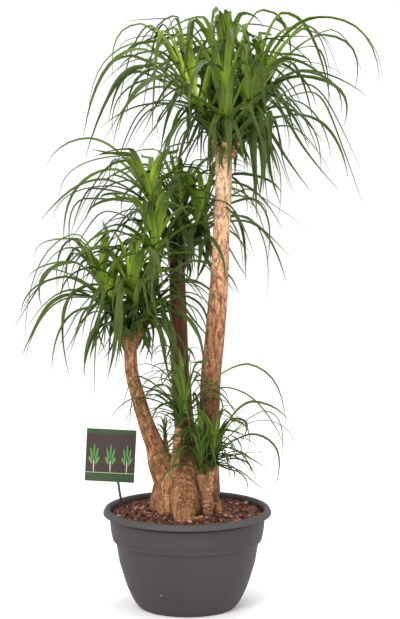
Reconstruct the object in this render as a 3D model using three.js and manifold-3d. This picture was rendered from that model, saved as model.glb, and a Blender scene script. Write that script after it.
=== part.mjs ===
// A branched ponytail palm in a round planting bowl, in millimetres, +Z up.
// The origin is the centre of the bowl's flat base. The front of the plant looks along -Y.
import * as THREE from 'three';
import { mergeVertices } from 'three/addons/utils/BufferGeometryUtils.js';
import Module from 'manifold-3d';

const wasm = await Module();
wasm.setup();

// ---- driving dimensions ----

const clearance = 0.35; // gap between pieces that rest on or in each other
const potWall = 3;
const potSegments = 36;
const potHeight = 208;
const lipRadius = 175.5;
const lipDrop = 12.8; // how far the turned-down lip hangs below the crest
const lipWidth = 15;
const openingRadius = 160;
const stepHeight = 140.5; // the shoulder that runs round the wall
const footRadius = 99;
const drainHoles = 6;
const drainRadius = 5;
const drainCircle = 62;

const soilLevel = 192;
const soilMound = 8; // the dressing is heaped up round the trunk
const chipRelief = 2.6;
const trunkDepth = 150; // height of the trunk's underside, buried in the soil

const cardSize = { width: 104, height: 112, thickness: 1 };
const cardCentre = new THREE.Vector3(-161.5, 39, 309);
const cardRoll = THREE.MathUtils.degToRad(3);
const stakeSize = { width: 5, thickness: 2 };
const stakeTop = new THREE.Vector3(-151.6, 41, 290);
const stakeFoot = new THREE.Vector3(-131.6, 41, 155);

const leafStations = [0, 0.16, 0.4, 0.68];
const leafGap = 1.2; // air kept between leaves of two crowns
const goldenAngle = 137.5;
const youngWidth = 1.4; // a crown's youngest leaves are this much broader than its oldest
const plantHeight = 1240;

// ---- seeded random numbers ----

function seededRandom(seed) {
  let state = seed >>> 0;
  return () => {
    state = (state + 0x6d2b79f5) >>> 0;
    let mixed = Math.imul(state ^ (state >>> 15), state | 1);
    mixed ^= mixed + Math.imul(mixed ^ (mixed >>> 7), mixed | 61);
    return ((mixed ^ (mixed >>> 14)) >>> 0) / 4294967296;
  };
}

// ---- solids ----

function solidFrom(geometry) {
  const bare = geometry.index ? geometry : geometry.clone();
  bare.deleteAttribute('normal');
  bare.deleteAttribute('uv');
  const merged = mergeVertices(bare, 1e-4);
  const vertProperties = new Float32Array(merged.attributes.position.array);
  const triVerts = new Uint32Array(merged.index.array);
  return new wasm.Manifold(new wasm.Mesh({ numProp: 3, vertProperties, triVerts }));
}

// A fused mesh can hold loose scraps or a sealed hollow: only its largest shell is kept.
function largestShell(positions, triangles) {
  const parent = Array.from({ length: positions.length / 3 }, (_, i) => i);
  const find = (i) => {
    while (parent[i] !== i) {
      parent[i] = parent[parent[i]];
      i = parent[i];
    }
    return i;
  };
  for (let t = 0; t < triangles.length; t += 3) {
    parent[find(triangles[t + 1])] = find(triangles[t]);
    parent[find(triangles[t + 2])] = find(triangles[t]);
  }
  const size = new Map();
  for (let t = 0; t < triangles.length; t += 3) {
    const shell = find(triangles[t]);
    size.set(shell, (size.get(shell) ?? 0) + 1);
  }
  const largest = [...size.entries()].sort((a, b) => b[1] - a[1])[0][0];
  const kept = [];
  for (let t = 0; t < triangles.length; t += 3) {
    if (find(triangles[t]) === largest) kept.push(...triangles.slice(t, t + 3));
  }
  return kept;
}

function geometryFrom(solid) {
  const mesh = solid.getMesh();
  const geometry = new THREE.BufferGeometry();
  geometry.setAttribute('position', new THREE.BufferAttribute(mesh.vertProperties, 3));
  geometry.setIndex(largestShell(mesh.vertProperties, mesh.triVerts));
  return geometry;
}

function fused(geometries) {
  return geometries.map(solidFrom).reduce((whole, piece) => whole.add(piece));
}

// A closed skin over rings of points, each ring with the same number of points.
// A last ring of one point closes it as a tip.
function skinned(rings) {
  const positions = [];
  const triangles = [];
  const starts = rings.map((ring) => {
    const start = positions.length / 3;
    ring.forEach((p) => positions.push(p.x, p.y, p.z));
    return start;
  });
  const sides = rings[0].length;
  for (let r = 0; r + 1 < rings.length; r += 1) {
    for (let i = 0; i < sides; i += 1) {
      const j = (i + 1) % sides;
      const low = starts[r];
      const high = starts[r + 1];
      if (rings[r + 1].length === 1) {
        triangles.push(low + i, low + j, high);
      } else {
        triangles.push(low + i, low + j, high + j);
        triangles.push(low + i, high + j, high + i);
      }
    }
  }
  const lastRing = rings.length - 1;
  for (let i = 1; i + 1 < sides; i += 1) {
    triangles.push(0, i + 1, i);
    const top = starts[lastRing];
    if (rings[lastRing].length > 1) triangles.push(top, top + i, top + i + 1);
  }
  const geometry = new THREE.BufferGeometry();
  geometry.setAttribute('position', new THREE.BufferAttribute(new Float32Array(positions), 3));
  geometry.setIndex(triangles);
  return geometry;
}

function turned(profile) {
  const points = profile.map(([radius, height]) => new THREE.Vector2(radius, height));
  return new THREE.LatheGeometry(points, potSegments).rotateX(Math.PI / 2);
}

// ---- pot ----

// The outside of the wall from the base up to the underside of the lip, as [radius, height].
const potSide = [
  [footRadius, 0],
  [104, 3],
  [113, 15],
  [127, 45],
  [142, 95],
  [149, stepHeight - 6],
  [155.5, stepHeight + 1],
  [157, stepHeight + 9],
  [163, potHeight - lipDrop],
];

// The inside of the wall, one wall thickness in, from the lip down to the floor.
const potInside = [
  [openingRadius - 0.2, potHeight - lipDrop],
  [154, stepHeight + 9],
  [146, stepHeight - 8],
  [139, 95],
  [124, 45],
  [97, potWall],
];

function makePot() {
  const innerLip = lipRadius - potWall;
  const lip = [
    [openingRadius + 3.2, potHeight - 6],
    [openingRadius + 8, potHeight - potWall],
    [innerLip - 0.5, potHeight - 8],
    [innerLip, potHeight - lipDrop],
    [lipRadius - 0.4, potHeight - lipDrop],
    [lipRadius, potHeight - 10],
    [lipRadius - 4.5, potHeight - 1],
    [lipRadius - lipWidth + 2.5, potHeight - 1],
    [openingRadius, potHeight - 6],
  ];
  const profile = [[0, 0], ...potSide, ...lip, ...potInside, [0, potWall]];
  let pot = solidFrom(turned(profile));
  for (let i = 0; i < drainHoles; i += 1) {
    const angle = (2 * Math.PI * (i + 0.5)) / drainHoles;
    const drill = new THREE.CylinderGeometry(drainRadius, drainRadius, 4 * potWall, 8).rotateX(Math.PI / 2);
    drill.translate(drainCircle * Math.cos(angle), drainCircle * Math.sin(angle), 0);
    pot = pot.subtract(solidFrom(drill));
  }
  return geometryFrom(pot);
}

// ---- trunk ----

const towardsViewer = new THREE.Vector3(0, -1, 0);

function vector([x, y, z]) {
  return new THREE.Vector3(x, y, z);
}

// A tapering limb along a curve. radiusAt(t) gives its radius, reliefAt(t, angle) a factor on it.
function limb({ curve, steps, sides, radiusAt, reliefAt = () => 1, grow = 0 }) {
  const rings = [];
  for (let s = 0; s <= steps; s += 1) {
    const t = s / steps;
    const along = curve.getTangent(t);
    const lengthen = grow * Math.sign(t - 0.5) * (s === 0 || s === steps ? 1 : 0);
    const centre = curve.getPoint(t).addScaledVector(along, lengthen);
    const right = new THREE.Vector3().crossVectors(towardsViewer, along).normalize();
    const front = new THREE.Vector3().crossVectors(along, right);
    const ring = [];
    for (let i = 0; i < sides; i += 1) {
      const angle = (2 * Math.PI * i) / sides;
      const radius = radiusAt(t) * reliefAt(t, angle) + grow;
      const point = centre.clone().addScaledVector(right, radius * Math.cos(angle));
      ring.push(point.addScaledVector(front, radius * Math.sin(angle)));
    }
    rings.push(ring);
  }
  return skinned(rings);
}

// Straight-line interpolation through values spaced evenly from 0 to 1.
function along(values) {
  return (t) => {
    const place = Math.min(t, 0.999999) * (values.length - 1);
    const index = Math.floor(place);
    return values[index] + (values[index + 1] - values[index]) * (place - index);
  };
}

// Leaf scars leave a trunk ringed and a little uneven.
function barkRelief(seed, steps, depth) {
  const random = seededRandom(seed);
  const swell = Array.from({ length: steps + 1 }, () => 1 + depth * (random() - 0.5));
  const phase = 6 * random();
  return (t, angle) => swell[Math.round(t * steps)] * (1 + 0.5 * depth * Math.sin(5 * angle + phase + 2 * t));
}

const trunks = {
  tall: {
    route: [
      [44, 4, 235], [43, 2, 290], [42, 0, 349], [45.5, -3, 400], [49, -4, 485], [55.4, -4, 548],
      [62.3, -4, 631], [67, -4, 700], [70, -4, 780], [74, -4, 860], [75.4, -4, 953],
    ],
    radii: [25, 23, 22, 21.5, 21, 20.5, 20, 18.5, 17, 17, 16.5],
    steps: 11, sides: 10, seed: 11,
  },
  middle: {
    route: [
      [5, 26, 235], [2, 35, 295], [-8, 48, 391], [-13, 52, 448], [-16, 54, 505],
      [-18, 55, 583], [-20.5, 55, 661], [-21.5, 55, 712],
    ],
    radii: [24, 22, 21, 20, 19, 18, 17, 16],
    steps: 9, sides: 10, seed: 12,
  },
  left: {
    route: [
      [-26, 0, 235], [-42, -8, 275], [-56, -14, 307], [-68, -18, 344], [-86, -20, 392],
      [-103, -22, 451], [-114, -24, 497], [-117, -25, 560],
    ],
    radii: [33, 31, 26, 19, 16, 14.5, 13.5, 13],
    steps: 9, sides: 10, seed: 13,
  },
};

// The swollen foot: half-widths by height, fluted, with deep grooves between its buttresses.
// Headings are in degrees anticlockwise from +X seen from above.
const footRoute = [[-2, 4, trunkDepth], [-2, 4, 195], [-3, 4, 240], [-4, 6, 285], [-8, 8, 322]];
const footRadii = [68, 74, 74, 70, 63, 57, 50, 40, 20];
const footFlute = 0.05;
const footGrooves = [
  { heading: 228, depth: 0.3 },
  { heading: 314, depth: 0.42 },
  { heading: 95, depth: 0.16 },
];

// The root toe that runs down the front and into the soil.
const toeRoot = {
  route: [[-3, -26, 275], [-5, -60, 240], [-7, -85, 212], [-8, -106, 190], [-7, -120, 168]],
  radii: [26, 28, 23, 14, 6],
};

function footRelief(t, angle) {
  const heading = angle + Math.PI; // a limb's ring starts on the far side
  const flute = Math.sin(7 * heading + 0.8) + 0.5 * Math.sin(12 * heading + 2);
  const groove = footGrooves.reduce((sum, { heading: middle, depth }) => {
    const facing = Math.cos(heading - THREE.MathUtils.degToRad(middle));
    return sum + depth * Math.max(0, facing) ** 8;
  }, 0);
  return 1 + (1 - t) * (footFlute * flute - groove);
}

// Small shoots near the foot: from the foot to where their leaves start.
const bareShoot = 46; // bare length of a shoot on top of a trunk: leaves sheathe the rest
const lowShoots = {
  centre: { from: [-26, -38, 285], radii: [11, 9, 8, 7.5] },
  rightFront: { from: [36, -34, 150], via: [43, -56, 225], radii: [12.5, 11.5, 10.5, 9.5, 7.5] },
  rightSide: { from: [42, -52, 250], radii: [12, 11, 9, 8] },
  sprout: { from: [-44, 5, 290], radii: [9, 8, 6] },
};

// ---- leaf crowns ----

// Each crown sits on the end of a shoot: base is where its leaves start, lean is the shoot's way there.
// A keyed leaf is [heading, out, up, tipOut, tipUp, width]: heading in degrees anticlockwise from +X
// seen from above, the highest point's distance out and up from the base, the tip's, and its width.
// Reach scales a crown's other leaves, and rise how high its young ones stand.
const crowns = [
  {
    name: 'crown_top_front', base: [79, -36, 988], lean: [-0.06, -0.12, 1], on: 'tall',
    reach: 1, rise: 1, leaves: 20, width: 15, seed: 101,
    keyed: [
      [-118, 34, 243, 92, 185, 16], [-70, 40, 214, 98, 140, 16], [-96, 45, 176, 104, 110, 17],
      [-150, 72, 220, 108, 22, 12], [20, 76, 244, 152, 205, 9], [-35, 60, 190, 130, 90, 13],
      [160, 50, 228, 120, 190, 13],
    ],
  },
  {
    name: 'crown_top_right', base: [118, -12, 1002], lean: [0.3, -0.1, 0.95], on: 'tall',
    reach: 1.02, rise: 0.82, leaves: 20, width: 13, seed: 102,
    keyed: [
      [10, 78, 222, 160, 50, 15], [-12, 148, 213, 292, 80, 9], [20, 168, 182, 282, 85, 9],
      [30, 170, 160, 236, 24, 9], [-35, 148, 190, 212, 72, 9], [-60, 60, 120, 110, -10, 14],
      [45, 90, 215, 150, 120, 12],
    ],
  },
  {
    name: 'crown_top_far_right', base: [128, 30, 988], lean: [0.5, 0.25, 0.83], on: 'tall',
    reach: 1, rise: 0.76, leaves: 20, width: 12, seed: 103,
    keyed: [
      [5, 113, 96, 205, -75, 10], [-15, 130, 78, 208, -140, 10], [38, 100, 143, 150, 10, 12],
      [25, 104, 62, 210, -60, 8], [-32, 62, 48, 178, -86, 12], [-52, 60, 38, 100, -92, 13],
      [-66, 36, 14, 66, -148, 13],
    ],
  },
  {
    name: 'crown_top_left', base: [34, -12, 1008], lean: [-0.5, -0.12, 0.86], on: 'tall',
    reach: 1, rise: 0.86, leaves: 19, width: 13, seed: 104,
    keyed: [
      [175, 125, 195, 215, 100, 10], [-168, 110, 190, 195, 20, 10], [160, 135, 160, 262, 15, 11],
      [-158, 135, 142, 252, -30, 12], [170, 108, 112, 226, -68, 12], [-172, 96, 84, 212, -36, 15],
      [178, 86, 35, 188, -14, 13], [-145, 90, 180, 118, -30, 12], [-163, 34, 6, 98, -165, 12],
    ],
  },
  {
    name: 'crown_top_back', base: [60, 42, 990], lean: [-0.15, 0.4, 0.9], on: 'tall',
    reach: 1, rise: 0.88, leaves: 18, width: 13, seed: 105,
    keyed: [[120, 120, 190, 210, 40, 12], [75, 110, 200, 190, 60, 12], [172, 110, 60, 205, -150, 9]],
  },
  {
    name: 'crown_middle_right', base: [18, 64, 768], lean: [0.35, 0.1, 0.93], on: 'middle',
    reach: 0.82, rise: 0.8, leaves: 18, width: 12, seed: 106,
    keyed: [[12, 112, 78, 172, -55, 10], [2, 96, 42, 158, -128, 10], [28, 90, 110, 175, 20, 10]],
  },
  {
    name: 'crown_middle_left', base: [-60, 46, 808], lean: [-0.4, -0.05, 0.9], on: 'middle',
    reach: 0.9, rise: 0.7, leaves: 18, width: 13, seed: 107,
    keyed: [
      [176, 150, 164, 216, 118, 10], [-172, 76, 128, 213, 38, 11], [-150, 70, 118, 160, 0, 14],
      [150, 110, 120, 190, -20, 10],
    ],
  },
  {
    name: 'crown_middle_back', base: [-16, 94, 776], lean: [0.05, 0.5, 0.86], on: 'middle',
    reach: 0.86, rise: 0.8, leaves: 18, width: 12, seed: 108, keyed: [[80, 105, 120, 190, -30, 11]],
  },
  {
    name: 'crown_left_high', base: [-64, -20, 712], lean: [-0.05, -0.1, 1], on: 'left',
    reach: 0.85, rise: 0.72, leaves: 17, width: 14, seed: 109,
    keyed: [
      [-175, 60, 138, 154, 108, 12], [-40, 32, 150, 66, 118, 16], [-10, 62, 122, 96, 96, 15],
      [168, 98, 112, 170, -10, 10], [-15, 72, 28, 104, -26, 12], [-102, 26, 12, 46, -122, 15],
      [-120, 24, 128, 60, 90, 16],
    ],
  },
  {
    name: 'crown_left_front', base: [-109, -46, 630], lean: [-0.05, -0.2, 0.97], on: 'left',
    reach: 0.78, rise: 0.86, leaves: 17, width: 14, seed: 110,
    keyed: [
      [-80, 26, 150, 58, 116, 15], [-160, 56, 96, 88, 26, 16], [-22, 46, 108, 90, 58, 14],
      [-116, 52, 62, 72, -112, 15], [-140, 60, 40, 128, -110, 10],
    ],
  },
  {
    name: 'crown_left_outer', base: [-155, -28, 628], lean: [-0.45, -0.05, 0.9], on: 'left',
    reach: 0.86, rise: 0.74, leaves: 19, width: 12, seed: 111,
    keyed: [
      [178, 118, 78, 192, -40, 9], [-170, 72, 152, 182, -110, 10], [-150, 76, 40, 114, -140, 10],
      [174, 72, 20, 176, -106, 9], [160, 90, 120, 175, 20, 10],
    ],
  },
  {
    name: 'crown_left_inner', base: [-90, 4, 590], lean: [0.4, 0.15, 0.9], on: 'left',
    reach: 0.74, rise: 0.8, leaves: 17, width: 11, seed: 112,
    keyed: [[-20, 92, 70, 174, -44, 10], [-34, 80, 30, 150, -92, 10], [-52, 60, 46, 112, -72, 10]],
  },
  {
    name: 'crown_centre_shoot', base: [-16, -64, 386], lean: [0.25, -0.05, 0.96], on: 'centre',
    reach: 0.6, rise: 0.95, leaves: 16, width: 7.5, seed: 113,
    keyed: [
      [-8, 137, 133, 226, 15, 6.5], [-15, 100, 86, 215, -42, 7], [-5, 52, 126, 66, 120, 10],
      [172, 85, 104, 113, 10, 7], [-176, 80, 86, 104, -6, 7], [179, 46, 40, 96, 2, 7],
      [115, 20, 150, 32, 146, 8], [-60, 18, 130, 30, 124, 8],
    ],
  },
  {
    name: 'crown_right_shoot_front', base: [29, -66, 291], lean: [-0.1, -0.15, 1], on: 'rightFront',
    reach: 0.5, rise: 0.9, leaves: 12, width: 7.5, seed: 114,
    keyed: [[-170, 46, 52, 108, 30, 7], [-120, 20, 112, 30, 106, 8], [-30, 70, 60, 120, -10, 7]],
  },
  {
    name: 'crown_right_shoot_side', base: [50, -58, 300], lean: [0.2, -0.05, 0.97], on: 'rightSide',
    reach: 0.55, rise: 0.95, leaves: 14, width: 7.5, seed: 115,
    keyed: [
      [-10, 88, 142, 140, 112, 7], [2, 106, 120, 158, 22, 7], [12, 106, 96, 180, 26, 6.5],
      [-12, 84, 74, 158, -28, 8], [15, 104, 30, 130, 18, 6.5], [-8, 16, 8, 104, -54, 8],
      [-36, 46, 58, 68, -12, 8],
    ],
  },
  {
    name: 'crown_small_sprout', base: [-46, 4, 352], lean: [0, -0.1, 1], on: 'sprout',
    reach: 0.13, rise: 1, leaves: 6, width: 4, seed: 116, keyed: [],
  },
];

// How leaves of three ages stand on a full-sized crown: young ones rise, old ones hang.
const leafAges = [
  { out: 48, up: 236, tipOut: 118, tipUp: 206 },
  { out: 116, up: 158, tipOut: 236, tipUp: 36 },
  { out: 90, up: 36, tipOut: 174, tipUp: -120 },
];

function shootLength(crown) {
  return 14 + 44 * crown.reach;
}

function shootRadius(crown) {
  return 3.5 + 6 * crown.reach;
}

function aged(age, key) {
  const place = Math.min(age, 0.999999) * 2;
  const index = Math.floor(place);
  return leafAges[index][key] + (leafAges[index + 1][key] - leafAges[index][key]) * (place - index);
}

// One leaf: the points that its two arcs bend round, its width, twist and sideways sway.
function makeLeaf(crown, shape, age, random) {
  const lean = vector(crown.lean).normalize();
  const heading = THREE.MathUtils.degToRad(shape.heading);
  const outward = new THREE.Vector3(Math.cos(heading), Math.sin(heading), 0);
  const height = shootLength(crown) * (0.82 - 0.62 * age);
  const root = vector(crown.base).addScaledVector(lean, height);
  root.addScaledVector(outward, 0.35 * shootRadius(crown) * (1 - 0.6 * (1 - age)));
  const base = vector(crown.base);
  const place = (out, up) => base.clone().addScaledVector(outward, out).add(new THREE.Vector3(0, 0, up));
  const apex = place(shape.out, shape.up);
  const tip = place(shape.tipOut, shape.tipUp);
  const rise = new THREE.Vector3(root.x, root.y, apex.z).addScaledVector(outward, 0.4 * shape.out);
  const fall = apex.clone().addScaledVector(outward, 0.72 * (shape.tipOut - shape.out));
  const firstPart = root.distanceTo(apex);
  const secondPart = apex.distanceTo(tip);
  return {
    root, rise, apex, fall, tip,
    side: new THREE.Vector3(-Math.sin(heading), Math.cos(heading), 0),
    split: firstPart / (firstPart + secondPart),
    width: shape.width * (youngWidth - (youngWidth - 1) * age),
    twist: (random() - 0.5) * 1.7,
    sway: (random() - 0.5) * 0.12 * (firstPart + secondPart),
  };
}

function bezier(a, b, c, t) {
  const point = a.clone().multiplyScalar((1 - t) ** 2);
  return point.addScaledVector(b, 2 * t * (1 - t)).addScaledVector(c, t * t);
}

function leafPoint(leaf, t) {
  const { root, rise, apex, fall, tip, split } = leaf;
  const onFirst = t < split;
  const point = onFirst
    ? bezier(root, rise, apex, t / split)
    : bezier(apex, fall, tip, (t - split) / (1 - split));
  return point.addScaledVector(leaf.side, leaf.sway * t * t);
}

// Widest a little way up, then tapering to a fine tip.
function leafWidth(leaf, t) {
  const swell = Math.min(1, 0.3 + 5 * t);
  return leaf.width * swell * (1 - t ** 1.6) ** 0.8;
}

// A strap leaf with a three-sided section: two edges and a keel.
function bladeGeometry(leaf) {
  const rings = leafStations.map((t) => {
    const centre = leafPoint(leaf, t);
    const forward = leafPoint(leaf, t + 0.01).sub(leafPoint(leaf, Math.max(0, t - 0.01))).normalize();
    const side = leaf.side.clone().applyAxisAngle(forward, leaf.twist * t);
    const above = new THREE.Vector3().crossVectors(forward, side).normalize();
    side.crossVectors(above, forward);
    const half = leafWidth(leaf, t) / 2;
    const depth = Math.max(0.9, 0.32 * half);
    return [
      centre.clone().addScaledVector(side, half).addScaledVector(above, depth / 2),
      centre.clone().addScaledVector(side, -half).addScaledVector(above, depth / 2),
      centre.clone().addScaledVector(above, -depth / 2),
    ];
  });
  return skinned([...rings, [leafPoint(leaf, 1)]]);
}

// ---- keeping the leaves of different crowns clear of each other ----

const obstacles = []; // capsules: two ends, a radius and the crown that owns them

function segmentDistance(p1, q1, p2, q2) {
  const d1 = q1.clone().sub(p1);
  const d2 = q2.clone().sub(p2);
  const gap = p1.clone().sub(p2);
  const a = d1.dot(d1);
  const e = d2.dot(d2);
  const f = d2.dot(gap);
  const c = d1.dot(gap);
  const b = d1.dot(d2);
  const denominator = a * e - b * b;
  let s = denominator > 1e-9 ? THREE.MathUtils.clamp((b * f - c * e) / denominator, 0, 1) : 0;
  let t = (b * s + f) / e;
  if (t < 0) {
    t = 0;
    s = THREE.MathUtils.clamp(-c / a, 0, 1);
  } else if (t > 1) {
    t = 1;
    s = THREE.MathUtils.clamp((b - c) / a, 0, 1);
  }
  return p1.clone().addScaledVector(d1, s).distanceTo(p2.clone().addScaledVector(d2, t));
}

function leafCapsules(leaf, owner) {
  const places = [...leafStations, 1];
  return places.slice(1).map((t, i) => ({
    a: leafPoint(leaf, places[i]),
    b: leafPoint(leaf, t),
    radius: 0.5 + leafWidth(leaf, places[i] === 0 ? t : places[i]) / 2,
    owner,
  }));
}

function isClear(capsules, owner) {
  const lowest = potHeight + 4;
  return capsules.every((capsule) => {
    if (Math.min(capsule.a.z, capsule.b.z) - capsule.radius < lowest) return false;
    if (Math.max(capsule.a.z, capsule.b.z) > plantHeight) return false;
    return obstacles.every((other) => {
      if (other.owner === owner) return true;
      const reach = capsule.radius + other.radius + leafGap;
      return segmentDistance(capsule.a, capsule.b, other.a, other.b) > reach;
    });
  });
}

function keyedShape([heading, out, up, tipOut, tipUp, width]) {
  return { heading, out, up, tipOut, tipUp, width };
}

// A leaf that the crown's own rule places: older leaves lie further down and out.
function ruledShape(crown, age, turn, random) {
  const size = crown.reach * (0.86 + 0.28 * random());
  const heading = turn + 50 * (random() - 0.5);
  const outward = new THREE.Vector3(Math.cos(heading / 57.3), Math.sin(heading / 57.3), 0);
  const push = 70 * crown.reach * outward.dot(vector(crown.lean));
  return {
    heading,
    out: aged(age, 'out') * size + 0.6 * push,
    up: aged(age, 'up') * size * crown.rise,
    tipOut: aged(age, 'tipOut') * size + push,
    tipUp: aged(age, 'tipUp') * size,
    width: crown.width * (0.8 + 0.35 * random()),
  };
}

const keyedTries = 14;
const ruledTries = 40;

function placeLeaf(crown, index, shapeFor, ageFor, tries) {
  const random = seededRandom(crown.seed * 1000 + index);
  for (let attempt = 0; attempt < tries; attempt += 1) {
    const age = ageFor(random, attempt);
    const leaf = makeLeaf(crown, shapeFor(random, attempt, age), age, random);
    const capsules = leafCapsules(leaf, crown.name);
    if (isClear(capsules, crown.name)) {
      obstacles.push(...capsules);
      return leaf;
    }
  }
  return null;
}

function keyedLeaves(crown) {
  return crown.keyed.map((key, index) => {
    const exact = keyedShape(key);
    const age = THREE.MathUtils.clamp(0.75 - exact.up / (crown.reach * 300), 0.05, 0.95);
    const shapeFor = (random, attempt) => {
      const stray = 3 * attempt * (random() - 0.5);
      return { ...exact, heading: exact.heading + stray };
    };
    return placeLeaf(crown, index, shapeFor, () => age, keyedTries);
  });
}

function ruledLeaves(crown) {
  const count = crown.leaves - crown.keyed.length;
  return Array.from({ length: count }, (_, i) => {
    const turn = goldenAngle * i + crown.seed * 40;
    const ageFor = (random, attempt) => {
      const stray = 0.02 * attempt * (random() - 0.5);
      return THREE.MathUtils.clamp((i + 0.5) / count + stray, 0, 1);
    };
    const shapeFor = (random, attempt, age) => {
      const strayed = turn + 4 * attempt * (random() - 0.5);
      return ruledShape(crown, age, strayed, random);
    };
    return placeLeaf(crown, 100 + i, shapeFor, ageFor, ruledTries);
  });
}

function trunkCurve(trunk) {
  return new THREE.CatmullRomCurve3(trunk.route.map(vector), false, 'catmullrom', 0.5);
}

// The shoot that carries a crown: bare at first and part of the trunk, then sheathed in leaves.
function shootCurve(crown) {
  const lean = vector(crown.lean).normalize();
  const end = vector(crown.base);
  const low = lowShoots[crown.on];
  if (low) {
    const start = vector(low.from);
    const middle = low.via ? vector(low.via) : start.clone().lerp(end, 0.5).addScaledVector(lean, -6);
    const turn = end.clone().addScaledVector(lean, -14);
    return new THREE.CatmullRomCurve3([start, middle, turn, end], false, 'catmullrom', 0.5);
  }
  const start = vector(trunks[crown.on].route.at(-1)).add(new THREE.Vector3(0, 0, -24));
  const bend = end.clone().addScaledVector(lean, -0.45 * start.distanceTo(end));
  return new THREE.QuadraticBezierCurve3(start, bend, end);
}

// The share of a shoot that is bare.
function bareShare(crown) {
  if (lowShoots[crown.on]) return 1;
  return THREE.MathUtils.clamp(bareShoot / shootCurve(crown).getLength(), 0.35, 0.85);
}

function stretchOf(curve, from, to) {
  return {
    getPoint: (t) => curve.getPoint(from + (to - from) * t),
    getTangent: (t) => curve.getTangent(from + (to - from) * t),
  };
}

function shootLimb(crown, grow = 0) {
  const tip = shootRadius(crown);
  const low = lowShoots[crown.on];
  const radii = low ? [...low.radii.slice(0, -1), tip] : [1.15 * tip, 1.1 * tip, tip];
  const curve = shootCurve(crown);
  const bare = bareShare(crown) - clearance / curve.getLength();
  return {
    curve: stretchOf(curve, 0, bare),
    steps: low ? 5 : 2,
    sides: low ? 8 : 6,
    radiusAt: along(radii),
    grow,
  };
}

// The sheathed end of a shoot, from its bare part up into the heart of the crown.
function crownCore(crown) {
  const lean = vector(crown.lean).normalize();
  const base = vector(crown.base);
  const radius = shootRadius(crown);
  const length = shootLength(crown);
  const rising = shootCurve(crown);
  const bare = bareShare(crown);
  const heart = [0, 0.5, 1].map((share) => base.clone().addScaledVector(lean, share * length));
  const sheathed = bare < 1;
  const points = sheathed ? [rising.getPoint(bare), ...heart] : heart;
  const tangents = sheathed ? [rising.getTangent(bare), lean, lean, lean] : [lean, lean, lean];
  const curve = {
    getPoint: (t) => points[Math.round(t * (points.length - 1))].clone(),
    getTangent: (t) => tangents[Math.round(t * (tangents.length - 1))].clone(),
  };
  const radii = [radius, radius, 0.8 * radius, 0.35 * radius].slice(4 - points.length);
  return { curve, steps: points.length - 1, sides: 6, radiusAt: along(radii) };
}

function crownGeometry(crown, leaves) {
  return geometryFrom(fused([limb(crownCore(crown)), ...leaves.map(bladeGeometry)]));
}

// ---- trunk, with the shoots that carry the crowns ----

function footLimb(grow = 0) {
  const curve = new THREE.CatmullRomCurve3(footRoute.map(vector), false, 'catmullrom', 0.5);
  return { curve, steps: 6, sides: 24, radiusAt: along(footRadii), reliefAt: footRelief, grow };
}

function toeLimb(grow = 0) {
  const curve = new THREE.CatmullRomCurve3(toeRoot.route.map(vector), false, 'catmullrom', 0.5);
  return { curve, steps: 5, sides: 8, radiusAt: along(toeRoot.radii), grow };
}

function makeTrunk() {
  const limbs = Object.values(trunks).map((trunk) => ({
    curve: trunkCurve(trunk),
    steps: trunk.steps,
    sides: trunk.sides,
    radiusAt: along(trunk.radii),
    reliefAt: barkRelief(trunk.seed, trunk.steps, 0.06),
  }));
  const shoots = crowns.map((crown) => shootLimb(crown));
  return geometryFrom(fused([footLimb(), toeLimb(), ...limbs, ...shoots].map(limb)));
}

function addTrunkObstacles() {
  const addLimb = (curve, radiusAt, pieces, owner, start = 0, end = 1) => {
    for (let i = 0; i < pieces; i += 1) {
      const from = start + (i / pieces) * (end - start);
      const to = start + ((i + 1) / pieces) * (end - start);
      const radius = 1.06 * Math.max(radiusAt(from), radiusAt(to));
      obstacles.push({ a: curve.getPoint(from), b: curve.getPoint(to), radius, owner });
    }
  };
  Object.values(trunks).forEach((trunk) => addLimb(trunkCurve(trunk), along(trunk.radii), 10, 'trunk'));
  const foot = footLimb();
  addLimb(foot.curve, foot.radiusAt, 6, 'trunk', 0, 0.9);
  addLimb(trunkCurve(toeRoot), along(toeRoot.radii), 4, 'trunk');
  crowns.forEach((crown) => {
    const radiusAt = () => 1.15 * shootRadius(crown);
    const bare = Math.min(0.72, bareShare(crown));
    addLimb(shootCurve(crown), radiusAt, 3, 'trunk', 0, bare);
    addLimb(shootCurve(crown), radiusAt, 2, crown.name, bare, 1);
    const tip = vector(crown.base).addScaledVector(vector(crown.lean).normalize(), shootLength(crown));
    obstacles.push({ a: vector(crown.base), b: tip, radius: shootRadius(crown), owner: crown.name });
  });
}

// ---- label ----

const stakeLean = Math.atan2(stakeFoot.x - stakeTop.x, stakeTop.z - stakeFoot.z);

function stakeBox(grow = 0) {
  const length = stakeTop.distanceTo(stakeFoot) + 2 * grow;
  const box = new THREE.BoxGeometry(stakeSize.width + 2 * grow, stakeSize.thickness + 2 * grow, length);
  box.rotateY(-stakeLean);
  const middle = stakeTop.clone().lerp(stakeFoot, 0.5);
  return box.translate(middle.x, middle.y, middle.z);
}

function addLabelObstacle() {
  const across = new THREE.Vector3(cardSize.width / 2 - 20, 0, 0);
  const owner = 'label';
  const radius = cardSize.height / 2;
  obstacles.push({ a: cardCentre.clone().sub(across), b: cardCentre.clone().add(across), radius, owner });
}

// ---- soil ----

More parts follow.
